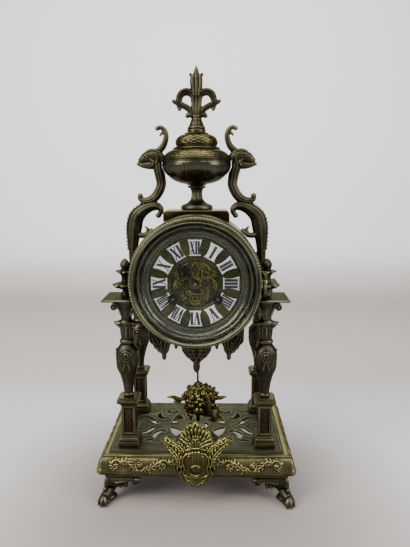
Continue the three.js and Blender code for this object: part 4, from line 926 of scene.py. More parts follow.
def cartouche_strokes():
    """Straps, wings and palmette, over the foot of the cartouche."""
    wing = [[18.4, 22.5], [16.2, 28], [17.6, 34.4], [21.4, 40.4], [26.4, 46], [31.6, 50.6]]
    upper = [[12.4, 41.6], [15.6, 46.4], [20.4, 50], [26.6, 53.4]]
    strokes = [
        tapered([[9.4, 39.8], [12.8, 35.2], [13.4, 29.4], [11.6, 23.6], [12.8, 17.6]], 1.4, 1.1, 3.6, 2.6),
        tapered([[3, 37.4], [3.3, 32], [3.9, 27.6]], 1.2, 0.7, 2.6, 1.6),
        tapered([[7.4, 36.6], [7.9, 31], [7.4, 25.4]], 1.3, 0.7, 2.6, 1.6),
        tapered([[3.1, 39.8], [3.3, 41.6]], 2.0, 1.7, 3.8),
        tapered([[0, 45.4], [5, 45], [10.4, 43]], 1.1, 0.8, 2.4, 2.0),
        tapered([[13, 16.4], [8.4, 13.6], [0, 12.6]], 1.0, 1.0, 2.2),
        tapered(spiral(17.4, 20.6, 0.4, 2.9, 200, -260, 14), 0.6, 1.1, 1.4, 2.6),
        tapered(wing, 1.5, 0.8, 2.9, 1.5), tapered(upper, 1.4, 0.7, 2.6, 1.4),
    ]
    strokes += leafy(wing, 8, 5.2, 52, 1.15, 2.1) + leafy(upper, 6, 4.8, 55, 1.1, 2.0)
    strokes = both_sides(strokes)
    for inner, outer, count, turn in ((3, 10, 7, 0), (8.4, 16, 9, 5.4), (14.4, 22.4, 11, 0),
                                      (20.4, 28.4, 9, 4.2)):
        limit = 74 - inner * 1.3
        strokes += fan(0, 44.6, inner, outer, np.linspace(-limit, limit, count) + turn, 1.75, 2.3)
    strokes += fan(0, 57, 0.6, 3.6, range(0, 360, 60), 1.3, 3.6)
    strokes += fan(0, 14.4, -1, -13.4, (-50, -32, -15, 0, 15, 32, 50), 1.5, 1.9)
    return strokes


def cartouche_part():
    """The strapwork casting on the front of the base, with its shield and its hole."""
    edge = spline(mirrored_outline(CARTOUCHE_EDGE + [(0, 0)])[:-1], 3)
    shield = spline(mirrored_outline(SHIELD_EDGE), 3)
    field = 2.2
    strokes = cartouche_strokes()

    def distance(X, Z):
        hole = CARTOUCHE_HOLE - np.hypot(X - CARTOUCHE_HOLE_AT[0], Z - CARTOUCHE_HOLE_AT[1])
        return np.maximum(polygon_distance(X, Z, edge), hole)

    def height(X, Z):
        inside = -polygon_distance(X, Z, shield)
        dome = np.clip(inside / 6, 0, 1)
        raised = 1.6 * np.sqrt(1 - (1 - dome) ** 2) * (inside > 0)
        raised = np.maximum(raised, 2.2 * lip(inside, 0, 0.9))
        around = np.hypot(X - CARTOUCHE_HOLE_AT[0], Z - CARTOUCHE_HOLE_AT[1]) - CARTOUCHE_HOLE
        raised = np.maximum(raised, 2.6 * lip(around, 1.0, 0.9))
        pits = 0.22 * np.sin(X * 2.1 + Z) * np.sin(Z * 2.3 - 0.6 * X) * (inside < -1)
        return np.maximum(raised, ridges(X, Z, strokes)) + pits

    low, high = (-35, -1), (35, 75)
    return plate(low, high, 0.36, distance, height, field, lambda A, B, H: np.stack(
        [A, CARTOUCHE_BACK - np.clip(H, 0, CARTOUCHE_DEEP), CARTOUCHE_FOOT + B], -1), bevel=0.7)


# Pillars, drawn for the front right and mirrored to the other corners
FOOT_HEIGHT = node_box("foot_front_right")[1][2]


def claw(centre, degrees, reach, size):
    """One toe with its nail, pointing out from the paw."""
    a = math.radians(degrees)
    out = np.array([math.cos(a), math.sin(a), 0])
    across = np.array([-math.sin(a), math.cos(a), 0])
    at = np.array([centre[0], centre[1], 0])
    toe = [(0.1, 9.6, 0.8), (0.55, 8.6, 1.0), (0.95, 5.8, 1.15), (1.1, 2.4, 0.85)]
    nail = [(1.1, 4.2, 0.55), (1.32, 2.6, 0.46), (1.42, 0.7, 0.2)]
    return [sweep([[*(at + out * reach * r + [0, 0, z]), size * w, size * w] for r, z, w in rows],
                  10, 3, across) for rows in (toe, nail)]


def foot_leaf(top):
    """The acanthus leaf that runs from the foot along the base, with its curls and vein."""
    leaf = [[-36.5, top - 5.6, 1.4], [-34, top - 3.4, 2.6], [-30.5, top - 4.6, 3.6], [-26, top - 3.2, 3.0],
            [-20, top - 4.4, 4.2], [-14, top - 6.2, 5.8], [-7, top - 7.0, 6.6], [0, top - 6, 5.8]]
    curl = np.column_stack([spiral(-16.4, top - 9.8, 0.5, 5.0, 120, 560, 16),
                            np.linspace(0.9, 1.9, 16), np.full(16, 3.8)])
    far_curl = np.column_stack([spiral(-31.4, top - 6.6, 0.4, 3.0, -60, 330, 12),
                                np.linspace(0.8, 1.3, 12), np.full(12, 3.2)])
    vein = [[-30, top - 4.4, 0.7, 4.6], [-20, top - 4.6, 0.9, 5.0], [-10, top - 6, 1.1, 5.4]]
    return [flat_sweep(leaf, 3.6, sides=14), flat_sweep(curl, 3.6, sides=10, per_span=3),
            flat_sweep(far_curl, 3, sides=8, per_span=3), flat_sweep(vein, 5, sides=8)]


TOE_ANGLES = (-113, -67, -23, 23)


def foot_part():
    """A paw foot under a corner, with toes, leg and a leaf along each side of the base."""
    top = FOOT_HEIGHT
    corner = np.array([BASE_HALF_X - 9, -(BASE_HALF_Y - 9)])
    paw = corner + [1.4, -4.6]
    across = np.array([1, 1, 0]) / math.sqrt(2)

    def on_diagonal(rows):
        return [[corner[0] + d, corner[1] - d, *rest] for d, *rest in rows]

    def ridge(turn, share):
        return 0.05 * np.cos(7 * turn) * (share > 0.15)

    parts = [
        sweep(on_diagonal([
            [-8, top - 2, 8.0, 8.4], [-7.4, top - 6, 6.6, 7.0], [-6.6, top - 11, 5.2, 5.4],
            [-4.6, top - 15.6, 4.6, 5.0], [-1.6, top - 19.4, 4.6, 5.2], [1.6, 7.0, 4.6, 5.4],
            [2.4, 4.2, 3.6, 5.0]]), 20, 5, across, carve=ridge),
        sweep(on_diagonal([[-7.2, 3.8, 3.2, 4.2], [-3.4, 4.6, 4.0, 5.6], [1.4, 4.2, 3.8, 5.8]]),
              20, 5, across),
        ball([paw[0] - 1.2, paw[1] + 1.2, 3.4], [4.8, 4.8, 3.4])]
    for degrees in TOE_ANGLES:
        parts += claw(paw, degrees, 5.0, 2.05)
    for d, z, size in ((-3.4, top - 9, 3.0), (-1.6, top - 14, 2.4)):
        parts.append(ball([corner[0] + d + 3, corner[1] - d - 3, z], [size, size, size + 0.4]))
    leaf = merged(*foot_leaf(top))
    parts.append((leaf[0] + [corner[0], corner[1] + 1.5, 0], leaf[1]))
    parts.append((leaf[0][:, [1, 0, 2]] * [-1, -1, 1] + [corner[0] - 1.5, corner[1], 0], flipped(leaf[1])))
    verts, faces = merged(*parts)
    verts[:, 2] = np.clip(verts[:, 2], 0.25, top - 0.25)
    return verts, faces


def square_turned(outline, face_detail, columns):
    """A square shaft from (half width, height); face_detail(u, z) pushes each face out."""
    outline = np.asarray(outline, float)
    share = np.linspace(-1, 1, columns)
    share = np.sign(share) * np.abs(share) ** 0.9
    rows = []
    half, height = outline.T
    for side in range(4):
        for t in share[:-1]:
            push = face_detail(np.full(len(half), t), height) * (abs(t) < 0.99)
            rows.append(quarter_turned(half * t, -(half + push), height, side))
    verts = np.vstack(rows)
    n, m = len(rows), len(outline)
    faces = grid_faces(n, m, wrap_rows=True).tolist()
    faces += [list(range(0, n * m, m))[::-1], list(range(m - 1, n * m, m))]
    return outward((verts, faces))


PEDESTAL_WIDE = PEDESTAL_HIGH[0] - PILLAR_X
PEDESTAL_SLIM = PEDESTAL_WIDE - 3.95


def pedestal_part():
    """A square pedestal with a sunk, carved panel on each side."""
    wide, slim = PEDESTAL_WIDE, PEDESTAL_SLIM
    h = PEDESTAL_HIGH[2] - PEDESTAL_LOW[2]
    outline = np.vstack([
        steps((wide - 0.4, 0), (wide, 0.4), (wide, 4.3), (wide - 0.3, 4.7), None, (wide - 1.2, 5.0), None,
              (wide - 1.2, 5.6), (wide - 0.9, 6.6), (wide - 1.3, 7.6), None, (wide - 2.2, 8.0),
              (wide - 2.8, 9.0), (wide - 3.1, 10.6), None, (slim, 11.0)),
        [(slim, z) for z in np.linspace(11.8, h - 9.4, 60)],
        steps((slim, h - 9.0), (wide - 3.4, h - 8.4), (wide - 2.6, h - 6.8), None, (wide - 1.4, h - 6.2),
              (wide - 0.6, h - 5.2), None, (wide, h - 4.6), (wide, h - 2.2), (wide - 0.3, h - 1.8), None,
              (wide - 1.6, h - 1.5), (wide - 1.8, h - 1.2), (wide - 1.8, h))])
    z0, z1 = 13.6, h - 11.2
    half = 0.68
    strokes = []
    for k in range(4):
        z = z0 + (k + 0.5) * (z1 - z0) / 4
        strokes += both_sides([
            tapered([[0.0, z - 3.4], [2.2, z - 2.0], [2.6, z + 0.6], [0.9, z + 2.0]], 0.55, 0.4, 0.55),
            tapered([[0.3, z - 1.6], [1.2, z - 0.4], [0.7, z + 0.6]], 0.5, 0.3, 0.5),
        ])
        strokes.append(tapered([[0, z + 2.4], [0, z + 4.2]], 0.7, 0.4, 0.6))

    def detail(t, z):
        inside = np.minimum(np.minimum(z - z0, z1 - z), (half - np.abs(t)) * slim)
        sunk = -0.95 * np.clip(inside / 0.5, 0, 1)
        return sunk + 0.6 * ridges(t * slim, z, strokes, 4) * (inside > 0.2)

    return moved(square_turned(outline, detail, 30), [PILLAR_X, -PILLAR_Y, PEDESTAL_LOW[2]])


VOLUTE = 4.5


def volute(side, x, z, half):
    """A rolled scroll seen from the front, with its eye standing proud."""
    turns = spiral(0, 0, VOLUTE - 1.0, 0.6, 90, 90 - side * 620, 26)
    line = [[x + px, 0, z + pz, 1.05 - 0.4 * k / 25, half - 0.35 * k / 25]
            for k, (px, pz) in enumerate(turns)]
    eye = lathe([(0.01, -half - 0.5), (1.0, -half - 0.4), (1.3, -half), (1.3, half), (1.0, half + 0.4),
                 (0.01, half + 0.5)], 12, about="y")
    return [sweep(line, 8, 3, square=0.7), moved(eye, [x, 0, z])]


def column_part():
    """A baluster: leafy belly with medallions, collar, fluted shaft, elbows and volutes."""
    low = COLUMN_LOW[2]
    h = COLUMN_HIGH[2] - low
    belly = 12.1
    flat = 0.88
    outline = steps((4.8, 0.3), (5.6, 0.8), (5.7, 2.4), (5.0, 3.4), None, (4.9, 4.6), (5.2, h * 0.07),
                    (5.9, h * 0.12), (7.2, h * 0.18), (9.2, h * 0.25), (11.3, h * 0.33), (belly, h * 0.41),
                    (11.4, h * 0.47), (9.4, h * 0.515), (6.6, h * 0.545), None, (7.5, h * 0.555),
                    (7.9, h * 0.572), (7.4, h * 0.586), (6.4, h * 0.59), None, (5.9, h * 0.64),
                    (5.9, h * 0.68), (6.4, h * 0.72), (6.9, h * 0.745), None, (7.4, h * 0.757),
                    (7.0, h * 0.775), (5.7, h * 0.79), None, (5.5, h * 0.85), (6.4, h * 0.9),
                    (8.4, h * 0.945), (9.6, h * 0.968), None, (9.8, h * 0.98), (9.4, h * 0.997))

    def leaves(turn, share, _):
        z = height_at(outline, share) / h
        lower = between(z, 0.1, 0.1, 0.53, 0.05)
        flute = between(z, 0.6, 0.02, 0.74, 0.02)
        neck = between(z, 0.8, 0.03, 0.95, 0.03)
        rib = (0.42 * np.abs(np.cos(4 * turn)) ** 0.6
               + 0.2 * np.cos(24 * turn + 26 * z) * np.cos(60 * z + 4 * turn))
        return (lower * (rib - 0.3) + flute * 0.3 * np.cos(14 * turn)
                + neck * 0.35 * (np.abs(np.cos(4 * turn)) - 0.4))

    verts, faces = turned(outline, 112, leaves)
    parts = [(verts * [1, flat, 1], faces)]
    for angle in (0, 90, 180, 270):
        a = math.radians(angle)
        out = np.array([math.sin(a), -math.cos(a), 0])
        squash = flat if angle in (0, 180) else 1.0
        reach = (belly - 0.4) * squash
        centre = out * reach + [0, 0, h * 0.435]
        across = np.array([math.cos(a), math.sin(a), 0])
        for wide, tall, thick in ((2.2, 2.6, 0.8), (4.8, 5.4, 0.9)):
            oval = [centre + across * wide * math.cos(t) + [0, 0, tall * math.sin(t)]
                    - out * wide**2 / 18 * math.cos(t) ** 2 for t in np.linspace(0, 2 * math.pi, 21)]
            parts.append(sweep([[*p, thick, thick] for p in oval], 8, 2, out))
        for x in (-1, 1):
            leaf = [[*(out * (reach - 0.2) + across * x * 1.2 + [0, 0, h * 0.37]), 0.8, 0.8],
                    [*(out * (reach - 1.4) + across * x * 3.0 + [0, 0, h * 0.30]), 1.2, 1.0],
                    [*(out * (reach - 4.4) + across * x * 2.0 + [0, 0, h * 0.22]), 0.6, 0.6]]
            parts.append(sweep(leaf, 8, 4, out))
        parts.append(sweep([[*(out * 6.0 * squash + [0, 0, h * 0.61]), 0.7, 0.5],
                            [*(out * 6.4 * squash + [0, 0, h * 0.66]), 1.2, 0.8],
                            [*(out * 6.8 * squash + [0, 0, h * 0.72]), 0.6, 0.5]], 8, 4, out))
    elbow = h * 0.746
    top = h - 2 * VOLUTE
    for side in (-1, 1):
        parts.append(flat_sweep([[side * 4, elbow + 1.0, 3.8, 4.6], [side * 8, elbow + 0.4, 3.2, 4.2],
                                 [side * 11.2, elbow + 0.8, 2.0, 3.0],
                                 [side * 12.9, elbow + 2.4, 0.7, 1.2]], 4, sides=14))
        parts.append(flat_sweep([[side * 4, elbow - 4.6, 2.0, 3.6], [side * 7.4, elbow - 3.2, 1.6, 3.4],
                                 [side * 9.6, elbow - 2.0, 0.8, 2.0]], 4, sides=12))
        parts += volute(side, side * 12.2, top, 4.6)
        parts.append(flat_sweep([[side * 4.8, h * 0.84, 1.8, 4.0], [side * 6.8, h * 0.9, 2.2, 4.4],
                                 [side * 11.4, h * 0.955, 1.8, 4.2]], 4, sides=12))
    parts.append(block([-12.2, -4.2, top + 0.6], [12.2, 4.2, top + 4.2], 0.5))
    verts, faces = merged(*parts)
    verts[:, 2] = np.clip(verts[:, 2], 0.3, h - 0.2)
    return moved((verts, faces), [PILLAR_X, -PILLAR_Y, low])


def clear_of_drum(thing, gap):
    """Presses the metal that would reach into the drum back to its surface."""
    co = in_plan(thing)
    away = np.hypot(co[:, 0], co[:, 2] - DRUM_Z)
    limit = DRUM_RADIUS + gap
    inside = (away < limit) & (co[:, 1] > DRUM_FRONT - gap) & (co[:, 1] < DRUM_BACK + gap)
    scale = np.where(inside, limit / np.maximum(away, 1e-6), 1.0)
    co[:, 0] *= scale
    co[:, 2] = DRUM_Z + (co[:, 2] - DRUM_Z) * scale
    set_points(thing, co)


def capital_plate_part():
    """The thin plate on a column, cut short where the drum's flank stands."""
    low, high = node_box("capital_plate_front_right")
    sag = DRUM_Z - (low[2] + high[2]) / 2
    inner = max(low[0], math.sqrt((DRUM_RADIUS + 0.3) ** 2 - sag**2) + 0.1)
    return block([inner, low[1], low[2]], high, 0.45)


def finial_part():
    """The tiered leaf finial that stands on a capital plate."""
    low = FINIAL_LOW[2]
    h = FINIAL_HIGH[2] - low
    r = FINIAL_HIGH[0] - PILLAR_X
    outline = steps((4.4, 0.2), (5.2, 0.7), (5.2, 2.6), (4.6, 3.4), None, (3.6, h * 0.12), (3.4, h * 0.16),
                    (5.6, h * 0.2), (r * 0.86, h * 0.25), (r, h * 0.30), None, (r * 0.9, h * 0.335),
                    (r * 0.5, h * 0.35), (4.0, h * 0.38), None, (3.7, h * 0.46), (4.2, h * 0.54),
                    (6.2, h * 0.6), (r * 0.76, h * 0.65), None, (r * 0.66, h * 0.68), (4.2, h * 0.70), None,
                    (4.0, h * 0.75), (5.0, h * 0.81), (4.4, h * 0.88), (2.6, h * 0.95), (0.05, h))

    def petals(turn, share, radius):
        z = height_at(outline, share) / h
        cup = between(z, 0.18, 0.06, 0.37, 0.02)
        disc = between(z, 0.55, 0.05, 0.70, 0.01)
        bud = between(z, 0.72, 0.03, 0.99, 0.1)
        neck = between(z, 0.38, 0.02, 0.56, 0.02)
        return (radius * (cup * (0.10 * np.cos(8 * turn) + 0.03 * np.cos(32 * turn) - 0.07)
                          + disc * (0.09 * np.cos(8 * turn) - 0.06)
                          + bud * 0.10 * np.abs(np.cos(4 * turn)) - bud * 0.05
                          + neck * 0.05 * np.cos(8 * turn)))

    return moved(turned(outline, 96, petals), [PILLAR_X, -PILLAR_Y, low])


def brown_panels(thing):
    """Gives the faces of a pedestal's sunk panels a browner metal."""
    centre = np.abs(face_centres(thing)) - [PILLAR_X, PILLAR_Y, 0]
    near, far = np.sort(np.abs(centre[:, :2]), axis=1).T
    shaft = (centre[:, 2] > PEDESTAL_LOW[2] + 13) & (centre[:, 2] < PEDESTAL_HIGH[2] - 10.6)
    second_metal(thing, PANEL, shaft & (far < PEDESTAL_SLIM - 0.3) & (near < PEDESTAL_SLIM * 0.7))


def make_pillars():
    """Feet, pedestals, columns, capital plates and finials at the four corners."""
    makers = [
        ("paw_foot", "foot", foot_part, CAST, "dark_brass", 0.62),
        ("panelled_pedestal", "pedestal", pedestal_part, PEDESTAL, "dark_brass", None),
        ("baluster_column", "column", column_part, CAST, "dark_brass", 0.42),
        ("thin_capital", "capital_plate", capital_plate_part, GREYED, "plate_brass", None),
        ("leaf_finial", "plate_finial", finial_part, DARK, "dark_brass", None),
    ]
    for name, node_name, make, material, slot, melt in makers:
        part = make()
        for corner, (sx, sy) in CORNERS.items():
            thing = piece(f"{name}_{corner}", mirrored(part, [sx, -sy, 1]), "clock", material,
                          [f"{node_name}_{corner}"], melt)
            if node_name in ("plate_finial", "column"):
                clear_of_drum(thing, 0.4)
            if node_name == "pedestal":
                brown_panels(thing)


# Drum, apron and rear door
def cylinder(radius, y0, y1, segments):
    """A plain cylinder along Y."""
    return lathe([(0.01, y0), (radius, y0), (radius, y1), (0.01, y1)], segments, about="y")


def at_dial(part):
    """Takes a part from the plan's origin to the height of the dial's centre."""
    return moved(part, [0, 0, DRUM_Z])


DRUM_WALL, DRUM_MOUTH = 1.8, 42.0


def drum_part():
    """The case: a tube with a ledge for the dial in front and a mouth for the door behind."""
    r, front, back = DRUM_RADIUS, DRUM_FRONT, DRUM_BACK
    inner = r - DRUM_WALL
    ledge = front + 4.4
    outline = np.vstack([
        [(r - 5, front), (r - 0.5, front), (r - 0.12, front + 0.15), (r, front + 0.6)],
        [(r, front + 4.0), (r - 0.5, front + 4.4), (r - 0.5, front + 5.0), (r, front + 5.4)],
        [(r, y) for y in np.linspace(front + 8, back - 8, 12)],
        [(r, back - 5.4), (r - 0.5, back - 5.0), (r - 0.5, back - 4.4), (r, back - 4.0),
         (r, back - 1.2), (r - 0.35, back - 0.35), (r - 1.2, back)],
        [(DRUM_MOUTH + 3, back), (DRUM_MOUTH, back), (DRUM_MOUTH, back - DRUM_WALL),
         (inner, back - DRUM_WALL), (inner, ledge + DRUM_WALL), (r - 8, ledge + DRUM_WALL), (r - 8, ledge),
         (r - 5, ledge)]])
    return at_dial(ring(outline, 160))


def hinge_barrel(x, y, low, high, radius):
    """An upright knuckle or pin, between two heights over the dial's centre."""
    z0, z1 = DRUM_Z + low, DRUM_Z + high
    return moved(lathe([(0.01, z0), (radius - 0.3, z0), (radius, z0 + 0.3), (radius, z1 - 0.3),
                        (radius - 0.3, z1), (0.01, z1)], 24), [x, y, 0])


def joint_place(name):
    """Where a joint's axis stands, seen from above."""
    place = next(joint["pos_m"] for joint in frame["joints"] if joint["name"] == name)
    return place[0] / MM - OFFSET[0], place[1] / MM - OFFSET[1]


HINGE_X, HINGE_Y = joint_place("bezel_hinge")
DOOR_X, DOOR_Y = joint_place("rear_door_hinge")
SLOT_HALF = 9


def make_drum():
    """The case with the slot for the pendulum, and the lugs of both hinges."""
    shell = piece("drum_shell", drum_part(), "clock", CASE, ["drum_case"], crisp=30)
    bottom = DRUM_Z - DRUM_RADIUS
    cut_with(shell, block([-SLOT_HALF, -5, bottom - 6], [SLOT_HALF, 5, bottom + 8], 0.01))
    lugs = []
    for low, high in ((-10.5, -4.8), (4.8, 10.5)):
        lugs.append(hinge_barrel(HINGE_X, HINGE_Y, low, high, 2.4))
        lugs.append(block([DRUM_RADIUS - 0.6, DRUM_FRONT + 0.1, DRUM_Z + low],
                          [HINGE_X + 2.0, DRUM_FRONT + 6, DRUM_Z + high], 0.4))
    for z in (-11.6, 11.6):
        lugs.append(ball([HINGE_X, HINGE_Y, DRUM_Z + z], [1.5, 1.5, 1.2], 14, 8))
    lugs.append(hinge_barrel(HINGE_X, HINGE_Y, -11.8, 11.8, 1.1))
    piece("bezel_hinge_lugs", merged(*lugs), "clock", CASE)
    lugs = []
    for low, high in ((-8, -4.3), (4.3, 8)):
        lugs.append(hinge_barrel(DOOR_X, DOOR_Y, low, high, 2.0))
        lugs.append(block([DOOR_X - 0.8, DRUM_BACK - 0.6, DRUM_Z + low],
                          [DOOR_X + 2.0, DOOR_Y, DRUM_Z + high], 0.3))
    lugs.append(hinge_barrel(DOOR_X, DOOR_Y, -7, 7, 1.0))
    piece("door_hinge_lugs", merged(*lugs), "clock", CASE)


def make_door():
    """The rear door with its knob and hinge leaf."""
    low = node_box("rear_door")[0]
    back, r = low[1], -low[0]
    outline = steps(
        (0.01, 0), None, (r - 0.3, 0), None, (r, 0.3), (r, 1.3), None, (r - 0.4, 1.6), None, (r - 1.6, 1.9),
        (r - 2.6, 2.5), (r - 3.6, 2.4), (r - 4.6, 1.7), None, (r - 6, 1.6), None, (16, 1.6), None,
        (14.5, 1.9), (13.5, 1.6), None, (0.01, 1.6)) + [0, back]
    knob = steps((0.01, 1), None, (2.6, 1), None, (2.6, 1.9), (1.6, 2.4), (1.3, 3.6), (1.9, 5.0), (3.0, 5.9),
                 (3.0, 6.7), (2.2, 7.4), (0.01, 7.5)) + [0, back]
    part = merged(at_dial(lathe(outline, 128, about="y")),
                  block([r - 3, back + 0.2, DRUM_Z - 4], [DOOR_X, back + 1.6, DRUM_Z + 4], 0.2),
                  moved(lathe(knob, 32, about="y"), [-(r - 8), 0, DRUM_Z]),
                  hinge_barrel(DOOR_X, DOOR_Y, -4, 4, 2.0))
    piece("round_rear_door", part, "rear_door", CASE, ["rear_door"], crisp=30)


APRON_LOW, APRON_HIGH = node_box("drum_apron")
APRON_HEM = [
    (50.5, 0.4), (49.6, -2.4), (46, -5.6), (45.4, -8.4), (42.4, -10.4), (41, -13.1), (38.4, -14),
    (37, -15.6), (37.2, -18.6), (36, -21.2), (34.5, -22.1), (33, -21), (32, -18.4), (32.2, -15.6),
    (30.6, -13.4),
    (29, -10.6), (28.6, -7), (26.5, -3), (25.2, -4), (24, -4.6), (23.4, -8), (22, -10.1), (20.4, -8.6),
    (19.4, -5.2), (17.4, -3.4), (16.2, -4.2), (16.2, -8), (15.4, -11.6), (13.6, -14.4), (11, -18.1),
    (8, -20.4), (4.6, -23.6), (3.4, -26), (4.0, -28.6), (3.4, -32), (2.2, -35), (0, -36.1),
]


def apron_part():
    """The pendants that hang under the drum."""
    reach = DRUM_RADIUS + 0.3
    turn = np.linspace(0, math.asin(51 / reach), 20)
    arc = [(reach * math.sin(a), -reach * math.cos(a)) for a in turn]
    hem = [(x, z - DRUM_RADIUS) for x, z in APRON_HEM]
    edge = mirrored_outline(arc + hem)
    r = -DRUM_RADIUS
    strokes = both_sides([
        tapered([[43, r + 3], [40, r - 3], [36.4, r - 9], [34.6, r - 17]], 1.8, 0.9, 2.0, 1.2),
        tapered([[33, r], [33.6, r - 6], [34.4, r - 12]], 1.5, 0.7, 1.8, 1.0),
        tapered([[46.6, r + 2], [45, r - 3], [41.4, r - 8]], 1.5, 0.8, 1.6, 0.9),
        tapered([[30, r - 1], [30.6, r - 6], [32.4, r - 11]], 1.2, 0.7, 1.5, 0.9),
        tapered([[22.4, r - 1], [22, r - 5], [21.8, r - 8.6]], 1.3, 0.6, 1.5, 0.8),
        tapered([[14.6, r - 8], [10.6, r - 13], [5, r - 18]], 1.3, 0.8, 1.7, 1.0),
        tapered(spiral(10.4, r - 9.4, 0.5, 3.0, 0, 400, 12), 0.6, 0.9, 1.2, 1.8),
        tapered(spiral(40, r - 1.6, 0.4, 2.8, 180, -200, 12), 0.6, 0.9, 1.2, 1.8),
        tapered([[4.4, r - 10], [3.4, r - 15], [1.4, r - 21]], 1.2, 0.7, 1.8, 1.0),
    ])
    for stem in ([[39.6, r - 1], [37, r - 8], [34.8, r - 18]], [[13.4, r - 6], [8, r - 14], [2.4, r - 24]],
                 [[5, r - 6], [4, r - 14], [1.4, r - 26]], [[46, r - 1], [43, r - 7], [39, r - 12]]):
        strokes += both_sides(leafy(stem, 5, 3.6, 48, 0.9, 1.5))
    strokes.append(tapered([[-15.5, r - 3.6], [0, r - 3.6], [15.5, r - 3.6]], 0.9, 0.9, 1.6))
    strokes.append(tapered([[-15.5, r - 6], [0, r - 6], [15.5, r - 6]], 0.5, 0.5, 1.0))
    strokes.append(tapered([[0, r - 22], [0, r - 28], [0, r - 33]], 1.6, 2.2, 1.6, 2.0))
    strokes.append([[0, r - 34.4, 1.2, 1.6], [0, r - 35, 0.8, 1.0]])
    thick = APRON_HIGH[1] - APRON_LOW[1] - 2.0

    def height(X, Z):
        rim = polygon_distance(X, Z, edge)
        return np.maximum(0.9 * lip(rim, -1.0, 0.7), ridges(X, Z, strokes))

    low, high = (-52, -DRUM_RADIUS - 37.5), (52, -40)
    return plate(low, high, 0.42, lambda X, Z: polygon_distance(X, Z, edge), height, thick,
                 lambda A, B, H: np.stack([A, APRON_HIGH[1] - H, DRUM_Z + B], -1), bevel=0.7)


# Bezel and glass
GLASS_LOW, GLASS_HIGH = node_box("bezel_glass")
BEADS, BEAD = 136, 1.42


def make_bezel():
    """The bezel with its beads, lip, hinge leaf and knuckle."""
    back, front = BEZEL_BACK, BEZEL_FRONT
    r = BEZEL_RADIUS
    inner = r - 8.5
    edge = np.array([(r - 1.5 + 1.5 * math.sin(a), back - 2.1 + 2.1 * math.cos(a))
                     for a in np.linspace(0, math.pi, 13)])
    outline = np.vstack([
        edge - [1.1, 0], steps((r - 2.6, back - 4.2), (r - 2.8, back - 4.7), (r - 3.2, back - 4.7), None,
                               (r - 3.3, back - 6.2), (r - 3.8, back - 9.0), (r - 4.5, front + 1.2), None,
                               (r - 4.8, front + 0.4), (r - 5.3, front + 0.05), (r - 5.9, front + 0.4),
                               None, (r - 6.8, front + 1.6), (r - 7.8, front + 3.6), (inner, front + 6.4)),
        [(inner, back - 4), (inner + 1.6, back)]])
    parts = [ring(outline, 320)]
    for turn in np.linspace(0, 2 * math.pi, BEADS, endpoint=False):
        at = [(r - BEAD) * math.cos(turn), back - 2.2, (r - BEAD) * math.sin(turn)]
        parts.append(ball(at, [BEAD, BEAD + 0.5, BEAD], 10, 7))
    part = merged(*map(at_dial, parts),
                  block([r - 2.6, back - 3, DRUM_Z - 4.5], [HINGE_X, back - 0.6, DRUM_Z + 4.5], 0.3),
                  hinge_barrel(HINGE_X, HINGE_Y, -4.5, 4.5, 2.4))
    piece("beaded_bezel", part, "bezel", BEZEL, ["bezel_ring"], crisp=50, reach=0.8)


def make_glass():
    """The domed glass, as one shell of even thickness."""
    front, back = GLASS_LOW[1], GLASS_HIGH[1]
    r = GLASS_HIGH[0]
    thick = 1.6
    edge = back - thick
    rise = edge - front
    share = np.linspace(0, 1, 28)
    dome = np.column_stack([r * share, edge - rise * (1 - share**2)])
    dome[0, 0] = 0.01
    outline = np.vstack([dome, dome[::-1] + [0, thick]])
    outline[-1, 0] = 0.01
    piece("domed_glass", at_dial(lathe(outline, 128, about="y")), "bezel", GLASS,
          ["bezel_glass"], crisp=60)


# Dial, numerals and hands
NUMERAL_LOW, NUMERAL_HIGH = node_box("numeral_plate_12")
DIAL_RADIUS = node_box("dial_plate")[1][0]
DIAL_TOP = NUMERAL_HIGH[1] + 0.3
DIAL_FACE = DIAL_TOP + 0.7
DIAL_BACK = DIAL_FACE + 1.5
NUMERAL_OUTER, NUMERAL_INNER = 43.5, 27.5
WINDING_X, WINDING_DROP, WINDING_HOLE = 22.4, 16.4, 4.0


def dial_strokes():
    """Arabesques of the dial's centre, on the right half and mirrored."""
    upper = [[6.4, 6], [12.4, 4], [18, 7], [20, 12]]
    lower = [[5.4, -4], [11.4, -5.4], [13.4, -11], [10.4, -16.6]]
    strokes = both_sides([
        tapered(spiral(10.5, 9.5, 0.5, 4.6, 200, -220, 16), 0.7, 1.1, 1.0, 1.5),
        tapered(spiral(16, -1.5, 0.4, 3.8, 0, 420, 14), 0.6, 1.0, 1.0, 1.5),
        tapered(spiral(8, -9, 0.4, 3.4, 90, -300, 14), 0.6, 0.9, 1.0, 1.3),
        tapered([[2, 6], [4, 12], [3, 17], [0.6, 21]], 1.2, 0.6, 1.5, 0.8),
        tapered(upper, 1.1, 0.6, 1.5, 0.8),
        tapered([[14, 13], [12, 17.4], [7, 20]], 1.1, 0.6, 1.5, 0.8),
        tapered(lower, 1.1, 0.6, 1.5, 0.8),
        tapered([[19.4, 2.4], [21.4, -1.6], [20, -6.4]], 0.9, 0.6, 1.3, 0.8),
        [[5, -12.4, 1.1, 1.6], [5.4, -17, 1.1, 1.6], [3.4, -20.4, 1.1, 1.6], [0, -21.6, 1.1, 1.6]],
        tapered([[2.4, -14], [2.6, -17], [0.8, -18.6]], 0.7, 0.6, 1.1, 0.8),
        *leafy(upper, 5, 3.0, 60, 0.7, 1.2), *leafy(lower, 5, 2.8, 60, 0.7, 1.2),
    ])
    strokes.append([[-6, -11.8, 1.1, 1.6], [0, -10.6, 1.2, 1.6], [6, -11.8, 1.1, 1.6]])
    return strokes


SIGHT_RING, DIAL_HOLE, FIELD_RADIUS = 56.4, 4.2, 24.0
